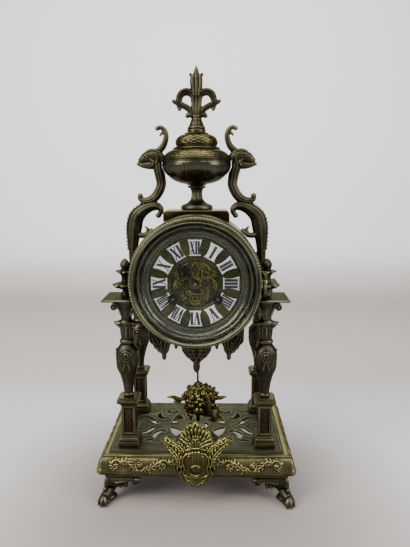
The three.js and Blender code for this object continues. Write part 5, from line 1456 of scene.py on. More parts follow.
# Section of the dial: radius and rise
DIAL_SECTION = np.array([
    (DIAL_HOLE, 1.2), (5.0, 1.3), (6.2, 0.7), (7.0, -0.4), (23.6, -0.4), (24.4, 0.9), (25.4, 0.5),
    (26.2, 1.1), (NUMERAL_INNER, 0.6), (NUMERAL_INNER + 0.5, 0.7), (NUMERAL_OUTER + 0.5, 0.7),
    (NUMERAL_OUTER + 1.1, 0.9),
    (NUMERAL_OUTER + 2.2, 0.0), (47.4, 0.4), (SIGHT_RING - 7.2, 0.2), (SIGHT_RING - 5.8, 0.5),
    (SIGHT_RING - 4.6, 1.1), (SIGHT_RING - 3.2, 2.4), (SIGHT_RING - 1.6, 4.6), (SIGHT_RING - 0.6, 5.8),
    (SIGHT_RING, 5.9), (DIAL_RADIUS - 0.7, 5.8), (DIAL_RADIUS, 5.0),
])


def dial_part():
    """The dial plate with its carved field, chapter ring, sloping sight ring and feet."""
    radii = np.concatenate([np.linspace(*stretch) for stretch in (
        (DIAL_HOLE, FIELD_RADIUS, 60), (FIELD_RADIUS + 0.2, NUMERAL_INNER, 18),
        (NUMERAL_INNER + 0.3, NUMERAL_OUTER + 1, 40), (NUMERAL_OUTER + 1.3, SIGHT_RING - 6.0, 14),
        (SIGHT_RING - 5.5, SIGHT_RING + 0.4, 18), (SIGHT_RING + 0.6, DIAL_RADIUS, 5))])
    turn = np.linspace(0, 2 * math.pi, 480, endpoint=False)
    T, R = np.meshgrid(turn, radii, indexing="ij")
    X, Z = R * np.cos(T), R * np.sin(T)
    rise = np.interp(R, *DIAL_SECTION.T)
    field = (R < FIELD_RADIUS) * (R > 6.4)
    rise += field * ridges(X, Z, dial_strokes(), 4)
    rise += field * 0.05 * np.sin(X * 5) * np.sin(Z * 5)
    chapter = (R > NUMERAL_INNER + 0.5) & (R < NUMERAL_OUTER + 0.4)
    rise += chapter * 0.13 * (np.cos(180 * T) * 0.5 + 0.5)
    front = np.stack([X, DIAL_FACE - rise, Z], -1)
    back = np.full_like(X, DIAL_BACK)
    rim, bore = (np.stack([X, back, Z], -1)[:, k:k + 1] for k in (len(radii) - 1, 0))
    verts = np.concatenate([front, rim, bore], axis=1)
    part = outward((verts.reshape(-1, 3),
                    grid_faces(len(turn), verts.shape[1], wrap_rows=True, wrap_columns=True).tolist()))
    feet = [moved(cylinder(1.8, DIAL_BACK - 0.4, DIAL_BACK + 7.1, 20),
                  [33 * math.cos(a), 0, 33 * math.sin(a)]) for a in np.radians([90, 210, 330])]
    return at_dial(merged(part, *feet))


def at_winding(part, side):
    """Takes a part from the dial's centre to one of the two winding squares."""
    return moved(part, [side * WINDING_X, 0, DRUM_Z - WINDING_DROP])


def winding_tools(radius, y0, y1):
    """Cylinders to cut with at the two winding squares."""
    return [at_winding(cylinder(radius, y0, y1, 40), side) for side in (-1, 1)]


HOURS = ["XII", "I", "II", "III", "IIII", "V", "VI", "VII", "VIII", "IX", "X", "XI"]
LETTER_WIDTH = {"I": 3.3, "V": 6.8, "X": 6.8}
GLYPH_HALF = 6.6
GLYPH_THICK, GLYPH_THIN, GLYPH_FOOT = 1.4, 0.5, 0.7
EYELET = WINDING_HOLE + 1.3
NEAR_EYELETS = (4, 8)


def bar(x0, x1, half, z0, z1):
    """A straight stroke from the foot at x0 to the head at x1."""
    return [(x0 - half, z0), (x0 + half, z0), (x1 + half, z1), (x1 - half, z1)]


def glyph_bars(text, width):
    """Outlines of the bars and serifs of a Roman number, fitted to a width."""
    total = sum(LETTER_WIDTH[c] for c in text)
    scale = min(1.0, width / total)
    x = -total * scale / 2
    g, thick = GLYPH_HALF, GLYPH_THICK * scale
    bars = []
    for letter in text:
        w = LETTER_WIDTH[letter] * scale
        mid = x + w / 2
        reach = w / 2 - 0.62 * scale
        left, right = mid - reach * 0.8, mid + reach * 0.8
        if letter == "I":
            bars.append(bar(mid, mid, thick, -g, g))
            ends = [(mid, -g), (mid, g)]
        elif letter == "V":
            far = mid + reach * 0.86
            bars.append(bar(mid, left, thick, -g, g))
            bars.append(bar(mid + 0.2, far, GLYPH_THIN, -g, g))
            ends = [(left, g), (far, g)]
        else:
            bars.append(bar(right, left, thick, -g, g))
            bars.append(bar(left, right, GLYPH_THIN, -g, g))
            ends = [(left, g), (right, g), (left, -g), (right, -g)]
        for ex, ez in ends:
            inner = ez - math.copysign(GLYPH_FOOT, ez)
            bars.append(bar(ex, ex, 1.62 * scale, min(ez, inner), max(ez, inner)))
        x += w
    return bars


def at_hour(index):
    """Takes x, radius and rise of a plate to its place on the dial."""
    a = 2 * math.pi * index / 12
    c, s = math.cos(a), math.sin(a)

    def place(v):
        x, z, up = v[..., 0], v[..., 1], v[..., 2]
        return np.stack([c * x + s * z, DIAL_TOP - 0.3 - up, DRUM_Z - s * x + c * z], -1)
    return place


def numeral_dome(X, Z):
    """The enamel's rounded edge."""
    inside = np.clip(-polygon_distance(X, Z, NUMERAL_EDGE) / 2.2, 0, 1)
    return 0.3 * np.sqrt(1 - (1 - inside) ** 2) - 0.3


NUMERAL_MID = (NUMERAL_OUTER + NUMERAL_INNER) / 2
NUMERAL_EDGE = mirrored_outline([
    (0, NUMERAL_OUTER + 0.1), (3.4, NUMERAL_OUTER - 0.2), (6.9, NUMERAL_OUTER + 0.1),
    (6.5, NUMERAL_MID + 6.4), (5.7, NUMERAL_MID + 4.2), (5.0, NUMERAL_MID + 1), (4.7, NUMERAL_MID - 3),
    (5.0, NUMERAL_MID - 5.8),
    (5.9, NUMERAL_INNER + 0.1), (3.2, NUMERAL_INNER + 0.3), (0, NUMERAL_INNER + 0.1)])


def make_dial():
    """The dial, its eyelets, and the twelve enamel plates with their numerals."""
    dial = piece("arabesque_dial", dial_part(), "clock", DIAL, ["dial_plate"], crisp=60,
                 reach=0.7)
    inside, outside, front = WINDING_HOLE - 0.2, EYELET - 0.05, NUMERAL_LOW[1] - 0.2
    eyelet = ring([(inside, DIAL_BACK), (inside, front + 0.4), (inside + 0.4, front), (outside - 0.3, front),
                   (outside, front + 0.4), (outside, DIAL_BACK)], 40)
    # The eyelets are the collets of the winding holes; their near-black colour is painted shade of the
    # holes' depth
    piece("winding_eyelets", merged(at_winding(eyelet, -1), at_winding(eyelet, 1)), "clock",
          EYELET_SHADE)
    cut_with(dial, *winding_tools(EYELET, DIAL_FACE - 5, DIAL_BACK + 2))
    centre = face_centres(dial)
    second_metal(dial, BEZEL, np.hypot(centre[:, 0], centre[:, 2] - DRUM_Z) > NUMERAL_OUTER + 2.4)
    thick = NUMERAL_HIGH[1] - NUMERAL_LOW[1]
    for index, text in enumerate(HOURS):
        place = at_hour(index)
        enamel = plate((-7.4, NUMERAL_INNER - 0.4), (7.4, NUMERAL_OUTER + 0.6), 0.36,
                       lambda X, Z: polygon_distance(X, Z, NUMERAL_EDGE), numeral_dome, thick,
                       lambda A, B, H: place(np.stack([A, B, H], -1)), bevel=0.3)
        ink = merged(*[extruded([(x, NUMERAL_MID + z) for x, z in shape], thick - 0.2, thick + 0.12, 0.02,
                                place, 1) for shape in glyph_bars(text, 10.0)])
        hour = index or 12
        made = [piece(f"enamel_cartouche_{hour:02d}", enamel, "clock", ENAMEL,
                      [f"numeral_plate_{hour:02d}"], crisp=180),
                piece(f"numeral_{hour:02d}", ink, "clock", INK, crisp=30)]
        if hour in NEAR_EYELETS:
            for thing in made:
                cut_with(thing, *winding_tools(EYELET, NUMERAL_LOW[1] - 1, DIAL_FACE))


MINUTE_ANGLE, HOUR_ANGLE = 318.0, 326.5
HAND_THICK = 0.6


def hand_part(reach, width, hub, angle, back, bore=0.0):
    """A pierced, tapering hand with a leaf-shaped eye near its tip."""
    blade = [(0.75, 0), (0.8, reach * 0.30), (1.5, reach * 0.36), (0.8, reach * 0.42), (0.75, reach * 0.5),
             (width * 0.9, reach * 0.60), (width, reach * 0.67), (width * 0.62, reach * 0.75),
             (0.75, reach * 0.81), (0.55, reach * 0.9), (0.2, reach)]
    edge = np.array(blade + [(-x, z) for x, z in blade[::-1]])
    eye = [(0, reach * 0.57), (width * 0.48, reach * 0.63), (width * 0.52, reach * 0.68), (0, reach * 0.76),
           (-width * 0.52, reach * 0.68), (-width * 0.48, reach * 0.63)]
    a = math.radians(angle)
    c, s = math.cos(a), math.sin(a)

    def distance(X, Z):
        shape = np.minimum(polygon_distance(X, Z, edge), np.hypot(X, Z) - hub)
        return np.maximum(np.maximum(shape, -polygon_distance(X, Z, eye)), bore - np.hypot(X, Z))

    def place(A, B, H):
        return np.stack([c * A + s * B, back - H, DRUM_Z - s * A + c * B], -1)

    return plate((-hub - 1, -hub - 1), (hub + 1, reach + 0.5), 0.17, distance,
                 lambda X, Z: -0.12 * np.abs(X), HAND_THICK, place, bevel=0.15)


def make_hands():
    """Both hands: blades, hubs, the hour hand's pipe and the collet."""
    low, high = node_box("minute_hand")
    hour_low, hour_high = node_box("hour_hand")
    hour_back = hour_low[1] + HAND_THICK
    back = hour_back - 1.6
    socket = steps((0.01, back - 1.5), (1.6, back - 1.45), (2.5, back - 1.0), None, (2.8, back - 0.5),
                   (2.8, back - 0.1), None, (1.6, back), (1.6, high[1] - 0.3), (1.3, high[1]),
                   (0.01, high[1]))
    minute = merged(hand_part(37, 2.2, 2.6, MINUTE_ANGLE, back), at_dial(lathe(socket, 40, about="y")))
    piece("minute_hand_blade", minute, "minute_hand", BLUED, ["minute_hand"])
    collet = ring([(0.9, high[1] - 0.9), (1.0, low[1]), (1.7, low[1] - 0.2), (2.3, low[1] + 0.3),
                   (2.4, low[1] + 0.9), (1.4, low[1] + 1.2)], 36)
    piece("hand_collet", at_dial(collet), "minute_hand", WORKS)
    bore, pipe = 2.0, 2.9
    tube = ring([(bore, hour_low[1]), (pipe, hour_low[1]), (pipe, hour_high[1]), (bore, hour_high[1])], 40)
    hour = merged(hand_part(25, 2.8, 3.5, HOUR_ANGLE, hour_back, bore), at_dial(tube))
    piece("hour_hand_blade", hour, "hour_hand", BLUED, ["hour_hand"])


# Works behind the dial
PLATE_THICK, PLATE_GAP, SPACER_AT = 1.8, 34.2, 39
BARREL_TEETH, TOOTH_TIP, TOOTH_ROOT = 84, 14.7, 13.4


def movement_plates(front):
    """Two round plates held apart by four turned spacers with nuts."""
    radius = node_box("movement_frame")[1][0]
    parts = [cylinder(radius, y0, y0 + PLATE_THICK, 120) for y0 in (front, front + PLATE_GAP)]
    rim = steps((2.5, 1.8), (3.4, 2.4), (3.4, 4.0), None, (2.4, 5.0), (2.2, 12), (3.2, 18), (2.2, 24),
                (2.4, 31), None, (3.4, 31.8), (3.4, 33.4), None, (2.5, 34.2)) + [0, front]
    spacer = lathe(np.vstack([[(0.01, rim[0, 1])], rim, [(0.01, rim[-1, 1])]]), 32, about="y")
    for cx, cz in ((1, 0), (-1, 0), (0, 1), (0, -1)):
        parts.append(moved(spacer, [SPACER_AT * cx, 0, SPACER_AT * cz]))
        for y in (front - 0.2, front + 36.2):
            parts.append(ball([SPACER_AT * cx, y, SPACER_AT * cz], [2.2, 0.5, 2.2], 20, 8))
    return at_dial(merged(*parts))


def bell_stand(front, top):
    """The pendulum cock and the arm that carries the bell's post."""
    back, post_end = front + 35.5, 27.0
    arm = [[18, 5, DRUM_Z - 26, 2, 1.4], [12, 5, DRUM_Z - 15, 2.4, 1.4], [0, 5, DRUM_Z, 2.2, 1.4]]
    return merged(
        moved(cylinder(2.0, back, 6.4, 24), [18, 0, DRUM_Z - 26]), sweep(arm, 12, 5),
        at_dial(cylinder(2.0, 3.6, post_end, 24)), at_dial(cylinder(3.6, post_end - 3, post_end, 6)),
        block([-4, back, top - 5.2], [4, 3.5, top - 0.2], 0.5),
        block([-2, back, top - 7.4], [2, front + 37, top - 2], 0.3))


def barrel_part(y0, y1):
    """A spring barrel with its toothed wheel."""
    turns = np.linspace(0, 2 * math.pi, BARREL_TEETH * 4, endpoint=False)
    tooth = np.where(np.arange(BARREL_TEETH * 4) % 4 < 2, TOOTH_TIP, TOOTH_ROOT)
    teeth = np.column_stack([tooth * np.cos(turns), tooth * np.sin(turns)])
    drum = ring(steps((2.4, y0), None, (5, y0), None, (11.6, y0 + 0.2), (12.2, y0 + 0.8), None,
                      (12.2, y1 - 2.2), (12.4, y1 - 1.8), (12.4, y1 - 0.4), (12, y1), None, (9.6, y1),
                      (9.2, y1 - 0.5), None, (4, y1 - 0.5), (3.6, y1), (2.4, y1)), 96)
    return merged(extruded(teeth, y0 + 0.2, y0 + 3.0, 0.15, laid_back, 1), drum)


def make_works():
    """Plates, cock and bell stand, both barrels and both winding arbors."""
    low, high = node_box("movement_frame")
    front = low[1]
    plates = piece("movement_plates", movement_plates(front), "clock", WORKS, crisp=30)
    cut_with(plates, *winding_tools(2.4, front - 2, front + 3),
             at_dial(cylinder(3.3, front - 2, front + 3, 32)))
    piece("cock_and_bell_stand", bell_stand(front, high[2]), "clock", WORKS,
          ["movement_frame"], crisp=30)
    for name, side, hand in (("strike", -1, "left"), ("going", 1, "right")):
        low, high = node_box(f"{name}_barrel")
        y0, y1 = low[1], high[1]
        barrel = piece(f"{name}_spring_barrel", at_winding(barrel_part(y0, y1), side), f"{name}_barrel",
                       WORKS, [f"{name}_barrel"], crisp=30)
        cut_with(barrel, at_winding(cylinder(2.4, y0 - 2, y1 + 2, 24), side))
        low, high = node_box(f"winding_arbor_{hand}")
        square = block([-1.4, low[1], -1.4], [1.4, DIAL_BACK + 6.5, 1.4], 0.2)
        shaft = lathe(steps((0.01, DIAL_BACK + 6), None, (2, DIAL_BACK + 6), None, (2, high[1] - 0.6), None,
                            (1.6, high[1]), (0.01, high[1])), 32, about="y")
        piece(f"{name}_arbor_steel", at_winding(merged(square, shaft), side), f"{name}_winding_arbor",
              STEEL, [f"winding_arbor_{hand}"], crisp=30)


def make_bell_and_hammer():
    low, high = node_box("bell")
    r = high[0]
    deep = high[1] - low[1]
    outer = spline([(r, 0), (r * 0.985, deep * 0.1), (r * 0.93, deep * 0.35), (r * 0.82, deep * 0.62),
                    (r * 0.62, deep * 0.85), (r * 0.36, deep * 0.96), (2.3, deep)], 8)
    inner = spline([(2.3, deep - 1.6), (r * 0.34, deep - 2.6), (r * 0.58, deep * 0.85 - 1.6),
                    (r * 0.82 - 1.6, deep * 0.62 - 0.8), (r * 0.93 - 1.6, deep * 0.3), (r - 1.9, 0)], 8)
    bell = ring(np.vstack([outer, inner]) + [0, low[1]], 128)
    piece("bell_bowl", at_dial(bell), "clock", BELL, ["bell"])
    low, high = node_box("bell_hammer")
    x, y, z = low[0] + 3.5, high[1] - 3.5, low[2] + 4.3
    arbor_x, arbor_z = -33, DRUM_Z + 13.4
    arbor = lathe(steps((0.01, low[1]), None, (0.9, low[1]), (1.2, low[1] + 0.5), None, (1.2, -9.2),
                        (0.01, -9)), 20, about="y")
    arm = sweep([[arbor_x, -10.5, arbor_z, 1.5, 1.5], [x - 0.7, -6, (arbor_z + z) / 2, 1.1, 1.1],
                 [x, y - 1.5, z, 1.4, 1.4]], 12, 6, (1, 0, 0))
    head = lathe(steps((0.01, y - 2.8), None, (2.6, y - 2.8), (3.4, y - 2), None, (3.5, y), (3.4, y + 2.0),
                       (2.2, y + 3.2), (0.01, y + 3.4)), 32, about="y")
    part = merged(moved(arbor, [arbor_x, 0, arbor_z]), arm, moved(head, [x, 0, z]))
    piece("hammer_with_arm", part, "hammer", STEEL, ["bell_hammer"])


# Pendulum
BOB_SHIFT, BOB_DROP = 2.6, 21.4
BOB_RINGS = [
    (13, 10.5, 23.2, 2.3, 0.8, 1.2), (12, 7.5, 20.0, 2.3, -2.0, 1.6), (10, 4.5, 16.0, 2.3, -4.4, 1.9),
    (7, 2.0, 11.4, 2.2, -6.2, 1.8), (5, 0.4, 6.6, 1.9, -8.0, 1.2), (13, 9.0, 21.0, 2.3, 3.4, -1.2),
]


def make_rod():
    """The suspension, the rod and its nut."""
    z_low, pivot = ROD_LOW[2], ROD_HIGH[2] - 2
    rod = [
        lathe(steps((0.01, z_low), None, (2.4, z_low), (3, z_low + 0.6), None, (3, z_low + 1.8),
                    (2.4, z_low + 2.4), None, (1.2, z_low + 2.6), (1.2, pivot - 13),
                    (0.01, pivot - 12.8)), 20),
        block([-2.4, -1.6, pivot - 16], [2.4, 1.6, pivot - 11], 0.4),
        block([-2, -0.4, pivot - 12], [2, 0.4, pivot + 1], 0.1),
        block([-2.6, -2, pivot - 1], [2.6, 2, pivot + 2], 0.3),
        moved(lathe([(0.01, -2.3), (1.1, -2.2), (1.1, 2.2), (0.01, 2.3)], 16, about="y"),
              [0, 0, pivot - 13.4]),
    ]
    piece("suspension_and_rod", merged(*rod), "pendulum", STEEL, ["pendulum_rod"], crisp=30)


def make_bob():
    """The bob: rings of lobed leaves round a core, with folds at its sides and foot."""
    centre_x, centre_z = BOB_SHIFT, BOB_HIGH[2] - BOB_DROP
    parts = [ball([centre_x, 0, centre_z], [18.0, 5.0, 18.5], 40, 20),
             ball([0, 0, centre_z], [4, 4, 22.5], 16, 12)]
    rng = np.random.default_rng(7)
    facing_front = np.array([0, 1, 0])

    def lobe(angle, root, tip, width, y0, lift, start):
        """One blunt lobe of a leaf, with a vein along its back."""
        out = np.array([math.cos(angle), 0, math.sin(angle)])
        rows = []
        for share, w in ((0, 0.5), (0.3, 0.9), (0.6, 1.2), (0.85, 1.1), (1.0, 0.6)):
            rise = np.array([0, y0 - lift * math.sin(math.pi * min(share * 1.1, 1)), 0])
            rows.append([*(start + out * (root + (tip - root) * share) + rise), width * w, 0.8 + 0.35 * w])
        parts.append(sweep(rows, 10, 3, facing_front))
        vein = [[*(np.array(r[:3]) - [0, 1.3, 0]), 0.45, 0.45] for r in rows[1:]]
        parts.append(sweep(vein, 6, 3, facing_front))

    for index, (count, root, tip, width, y0, lift) in enumerate(BOB_RINGS):
        loose = 0 if y0 > -1 else 3.2
        centre = np.array([centre_x + rng.uniform(-loose, loose), 0, centre_z + rng.uniform(-loose, loose)])
        for k in range(count):
            angle = math.radians(360 * k / count + 13 * index + rng.uniform(-16, 16))
            size = rng.uniform(0.9, 1.0)
            lobe(angle, root, tip * size, width, y0, lift, centre)
            fork = centre + np.array([math.cos(angle), 0, math.sin(angle)]) * (root + 0.35 * (tip - root))
            for turn in (-0.62, 0.62):
                lobe(angle + turn, 0, 0.48 * (tip * size - root), width * 0.7, y0 - 0.3, lift * 0.7, fork)

    def leaf(rows, depth, sides, forward=0.0):
        """A leaf or fold that lies beside or over the rosette, from x, height over its centre, width."""
        raised = [[row[0], centre_z + row[1], *row[2:]] for row in rows]
        parts.append(moved(flat_sweep(raised, depth, sides=sides), [0, -forward, 0]))

    left, right = BOB_LOW[0] + 0.2, BOB_HIGH[0] - 0.2
    foot = BOB_LOW[2] - centre_z
    leaf([[-16, 0.5, 2.4], [-22, 0.4, 2.4], [-26.4, 1.8, 2.6], [-30.6, 3.0, 1.8], [left, 2.4, 0.6]], 2.0, 12)
    leaf([[-20, -3.0, 1.8], [-25, -2.4, 2.2], [-28.6, -3.0, 1.0]], 2, 10)
    leaf([[20, 2, 2.2], [26, 2.0, 2.4], [30, 3.0, 1.6], [right, 3.8, 0.6]], 2.0, 12)
    leaf([[9, 11, 1.6, 2.0], [11.4, 4, 2.6, 2.4], [12.6, -5, 3.0, 2.6], [14.6, -13, 3.4, 2.8],
          [19.0, -17.4, 3.0, 2.6], [20.4, -21.4, 2.4, 2.4], [17.8, foot + 1.8, 1.9, 1.9],
          [14.6, foot + 2.4, 1.2, 1.4]], 3, 14, 7.0)
    parts.append(ball([15.6, -6.0, centre_z - 20.0], [3.2, 3.0, 3.2], 18, 12))
    leaf([[22.4, -5, 1.2], [24.2, -11, 1.7], [22.6, -17, 1.4], [19.4, -21, 0.9]], 2, 8, 5)
    leaf([[-8, -17, 2.2, 2.4], [-8.6, -21, 2.0, 2.2], [-7.2, -24.4, 0.9, 1.2]], 2, 10, 3)
    verts, faces = merged(*parts)
    verts[:, 1] = np.clip(verts[:, 1], BOB_LOW[1] + 0.1, BOB_HIGH[1])
    bob = piece("leafy_bob", (verts, faces), "pendulum", BOB, ["pendulum_bob"], melt=0.5,
                soften=1)
    low, high, sleeve_end = BOB_LOW[2] - 2, BOB_HIGH[2] + 4, ROD_LOW[2] + 2.8
    cut_with(bob, lathe([(0.01, low), (1.5, low), (1.5, high), (0.01, high)], 16),
             lathe([(0.01, low), (3.3, low), (3.3, sleeve_end), (0.01, sleeve_end)], 16))


# Urn with its plinth, lid and fleuron
def make_plinth():
    """The block on the drum, hollow below and rounded above."""
    x, y = PLINTH_HIGH[0], PLINTH_HIGH[1]
    top, low = PLINTH_HIGH[2], PLINTH_LOW[2]
    reach = DRUM_RADIUS + 0.3
    edge = math.asin(min((x - 0.2) / reach, 1))
    saddle_low = max(low, DRUM_Z + reach * math.cos(edge))
    saddle = [(reach * math.sin(a), DRUM_Z + reach * math.cos(a)) for a in np.linspace(-edge, edge, 41)]
    r = 4.6
    right = [(x, saddle_low), (x, top - r - 1)]
    right += [(x - r + r * math.cos(a), top - r + r * math.sin(a))
              for a in np.radians(np.linspace(8, 82, 9))]
    outline = saddle[1:-1] + right + [(-px, pz) for px, pz in right[::-1]]
    piece("rounded_plinth", extruded(outline, -y, y, 0.9, laid_back, 4), "clock", PLINTH,
          ["urn_plinth"], crisp=30)


def make_urn_foot():
    """The fluted foot of the urn."""
    low, high = URN_FOOT_LOW[2], URN_FOOT_HIGH[2]
    h, r = high - low, URN_FOOT_HIGH[0]
    outline = steps((0.01, 0.1), (r - 0.6, 0.1), None, (r, 0.8), (r, 2.6), (r - 0.5, 3.4), None,
                    (r * 0.93, 4.6), (r * 0.76, 5.8), (r * 0.58, h * 0.28), (r * 0.43, h * 0.38),
                    (r * 0.35, h * 0.5), (r * 0.32, h * 0.64), (r * 0.33, h * 0.76), (r * 0.42, h * 0.88),
                    None, (r * 0.55, h * 0.91), (r * 0.58, h * 0.95), (r * 0.52, h * 0.985), None,
                    (r * 0.5, h), (r * 0.4, h), (r * 0.4, h + 0.6), (0.01, h + 0.6))

    def flutes(turn, share, _):
        z = height_at(outline, share) / h
        stem = between(z, 0.42, 0.08, 0.87, 0.05)
        splay = between(z, 0.2, 0.03, 0.42, 0.06)
        return stem * 0.35 * np.cos(10 * turn) + splay * 0.25 * np.cos(20 * turn)

    piece("fluted_urn_foot", moved(lathe(outline, 120, flutes), [0, 0, low]), "clock", CAST,
          ["urn_foot"], crisp=60)


def make_bowl():
    """The gadrooned bowl, open above."""
    low, high = BOWL_LOW[2], BOWL_HIGH[2]
    h, r = high - low, BOWL_HIGH[0] / 1.003
    outer = steps((0.01, 0), (r * 0.25, 0), None, (r * 0.28, 0.4), (r * 0.29, 0.9), None,
                  (r * 0.47, h * 0.09), (r * 0.66, h * 0.2), (r * 0.82, h * 0.38), (r * 0.935, h * 0.58),
                  (r * 0.985, h * 0.76), (r * 0.993, h * 0.9), (r * 0.985, h * 0.955), None, (r, h * 0.965),
                  (r, h * 0.995), (r - 0.4, h))
    inner = steps((r - 2, h), (r - 2.2, h * 0.8), (r * 0.8, h * 0.46), (r * 0.5, h * 0.2), (0.01, h * 0.1))
    outline = np.vstack([outer, inner])

    def seams(turn, share, _):
        z = height_at(outline, share) / h
        outside = share < len(outer) / len(outline)
        groove = np.abs(np.sin(5 * turn))
        return (between(z, 0.1, 0.1, 0.86, 0.06) * outside
                * (-0.35 * lip(groove, 0, 0.05) + 0.25 * groove**0.7))

    piece("gadrooned_bowl", moved(lathe(outline, 240, seams), [0, 0, low]), "clock", BOWL,
          ["urn_bowl"])


def make_lid():
    """The chased lid, hollow below."""
    low, high = LID_LOW[2], LID_HIGH[2]
    h, r, neck = high - low, LID_HIGH[0], 9.25
    outer = steps((r - 2, 0.05), (r - 0.3, 0.05), None, (r, 0.5), (r, 1.6), (r - 0.6, 2.1), None,
                  (r * 0.98, 2.8), (r * 0.945, h * 0.16), (r * 0.86, h * 0.265), (r * 0.745, h * 0.35),
                  (r * 0.67, h * 0.39), None, (r * 0.685, h * 0.41), (r * 0.66, h * 0.45),
                  (r * 0.62, h * 0.46), None, (r * 0.585, h * 0.49), (r * 0.585, h * 0.52), None,
                  (r * 0.60, h * 0.58), (r * 0.59, h * 0.69), (r * 0.535, h * 0.80), (r * 0.42, h * 0.88),
                  (r * 0.34, h * 0.905), None, (r * 0.345, h * 0.93), (r * 0.31, h * 0.955),
                  (neck, h * 0.965), None, (neck, h - 0.05), None, (0.01, h - 0.05))
    inner = steps((0.01, h * 0.84), (r * 0.46, h * 0.7), None, (r * 0.5, h * 0.44), None, (r - 2, 0.05))
    outline = np.vstack([outer, inner])

    def chasing(turn, share, _):
        z = height_at(outline, share) / h
        outside = share * (len(outline) - 1) < len(outer)
        shoulder = between(z, 0.09, 0.03, 0.37, 0.03) * outside
        dome = between(z, 0.53, 0.03, 0.88, 0.04) * outside
        wave = np.sin(20 * turn + 5 * np.sin(z * 34)) * np.cos(z * 62 + 2 * np.sin(10 * turn))
        fine = 0.5 * np.sin(53 * turn + z * 90) * np.sin(z * 160 - 20 * np.sin(9 * turn))
        leaf = np.sin(16 * turn + 4 * np.sin(z * 30)) * np.cos(z * 58)
        return shoulder * 0.34 * (wave + fine) + dome * 0.42 * (leaf + fine)

    piece("chased_lid", moved(lathe(outline, 360, chasing), [0, 0, low]), "clock", LID,
          ["urn_lid"], crisp=60, reach=0.8)


# Rows of x, height over the fleuron's foot, half width, half depth, for the right side
FLEURON_ARMS = [
    [[2, 33.4, 3.4, 3.2], [5.2, 38.0, 3.9, 3.4], [9.8, 39.8, 4.1, 3.4], [14, 39.0, 4.0, 3.4],
     [17, 36.0, 3.8, 3.4], [18.4, 32.0, 3.4, 3.2], [19.2, 28.6, 2.4, 2.8]],
    [[4, 38.6, 1.0, 4.2], [9.8, 41.6, 1.2, 4.3], [15.4, 40.0, 1.2, 4.3], [18.8, 34.6, 1.0, 4.0]],
    [[16.4, 29.0, 2.9, 2.9], [20, 28.8, 2.8, 2.8], [23.0, 29.8, 2.2, 2.4], [24.6, 30.6, 1.5, 1.6]],
    [[18.6, 27.6, 2.4, 2.6], [18.6, 24.6, 2.2, 2.3], [17.6, 22.4, 1.6, 1.8]],
    [[19, 28.2, 3.1, 2.7], [14.6, 26.2, 3.2, 2.9], [10.6, 24.2, 3.2, 3.0], [6.4, 21.2, 3.4, 3.1],
     [3, 16.6, 3.6, 3.2]],
    [[16, 27.6, 0.9, 3.5], [11, 25.4, 1.1, 3.6], [7, 22.6, 1.0, 3.6]],
    [[2, 15.6, 3.2, 3.3], [5.4, 16.6, 3.1, 3.3], [8.6, 16.6, 2.7, 3.0], [10.2, 15.0, 1.6, 2.2]],
]


def make_fleuron():
    """The fleuron on the lid, cast in one piece."""
    base = lathe(steps((0.01, 0.1), (10.4, 0.1), None, (10.0, 1.2), (8.4, 1.8), None, (9.3, 2.2),
                       (9.6, 3.2), (9.1, 4.4), (8.2, 4.8), None, (7.6, 6.4), (6.6, 8.8), (5.6, 10.8), None,
                       (6.1, 11.5), (5.4, 12.4), None, (4.8, 14), (4.4, 16), (0.01, 16.2)), 64,
        lambda turn, share, _: 0.2 * np.cos(12 * turn) * (share > 0.5) * (share < 0.8))
    parts = [base]
    for x in (-1, 0, 1):
        parts.append(flat_sweep([[x * 2.7, 13, 2.2, 3.2], [x * 3.0, 20, 2.1, 3.2], [x * 3.3, 26, 2.2, 3.3],
                                 [x * 3.7, 32, 2.4, 3.4], [x * 4.0, 37, 2.6, 3.5]], 3.6, sides=14))
        parts.append(flat_sweep([[x * 2.6, 36, 2.0, 4.0], [x * 3.3, 41, 2.3, 4.5], [x * 4.0, 46.5, 2.6, 4.9],
                                 [x * 4.1, 50.5, 2.7, 4.9], [x * 3.7, 55.5, 2.4, 4.4]], 5, sides=14))
    parts.append(flat_sweep([[0, 54, 3.6, 3.2], [0, 57.4, 3.4, 3.0], [0, 60.6, 2.6, 2.3],
                             [0, 63.6, 1.4, 1.3], [0, 66.0, 0.4, 0.4]], 3.6, sides=16))
    for side in (-1, 1):
        for rows in FLEURON_ARMS:
            parts.append(flat_sweep([[side * row[0], *row[1:]] for row in rows], 3.6, sides=16))
        for x, z, r in ((24.0, 30.4, 2.0), (17.8, 22.6, 2.2), (9.6, 15.6, 2.5), (5.9, 57.0, 1.8)):
            parts.append(ball([side * x, 0, z], [r, r + 0.4, r], 14, 8))
    verts, faces = moved(merged(*parts), [0, 0, FLEUR_LOW[2]])
    verts[:, 2] = np.clip(verts[:, 2], FLEUR_LOW[2] + 0.1, FLEUR_HIGH[2])
    piece("urn_fleuron", (verts, faces), "clock", FINIAL, ["urn_finial"], melt=0.4, soften=1)


# Scroll brackets with beast heads, drawn for the right side
BOWL_RADIUS = BOWL_HIGH[0] / 1.02
LID_FOOT = LID_LOW[2]
SCALLOP = 4.1


def from_rim(*rows):
    """Rows counted from the bowl's side, across, and the lid's foot, up."""
    return [[BOWL_RADIUS + row[0], LID_FOOT + row[1], *row[2:]] for row in rows]


def from_flank(*rows):
    """Rows counted from the drum's side, across, and the drum's centre, up."""
    return [[DRUM_RADIUS + row[0], DRUM_Z + row[1], *row[2:]] for row in rows]


def ribbed(count, depth):
    """Hollows between cords that run along a limb."""
    return lambda turn, share: depth * (np.abs(np.cos(count / 2 * turn)) - 0.6)


def limb(rows, sides=18, carve=None, y=0.0):
    """A rounded limb of a bracket."""
    return moved(flat_sweep(rows, 5.5, sides=sides, carve=carve), [0, y, 0])


def knob(place, radii, wide, high, y=0.0, tilt=0.0):
    """A ball at a place given by from_rim or from_flank."""
    return ball([place[0][0], y, place[0][1]], radii, wide, high, tilt)


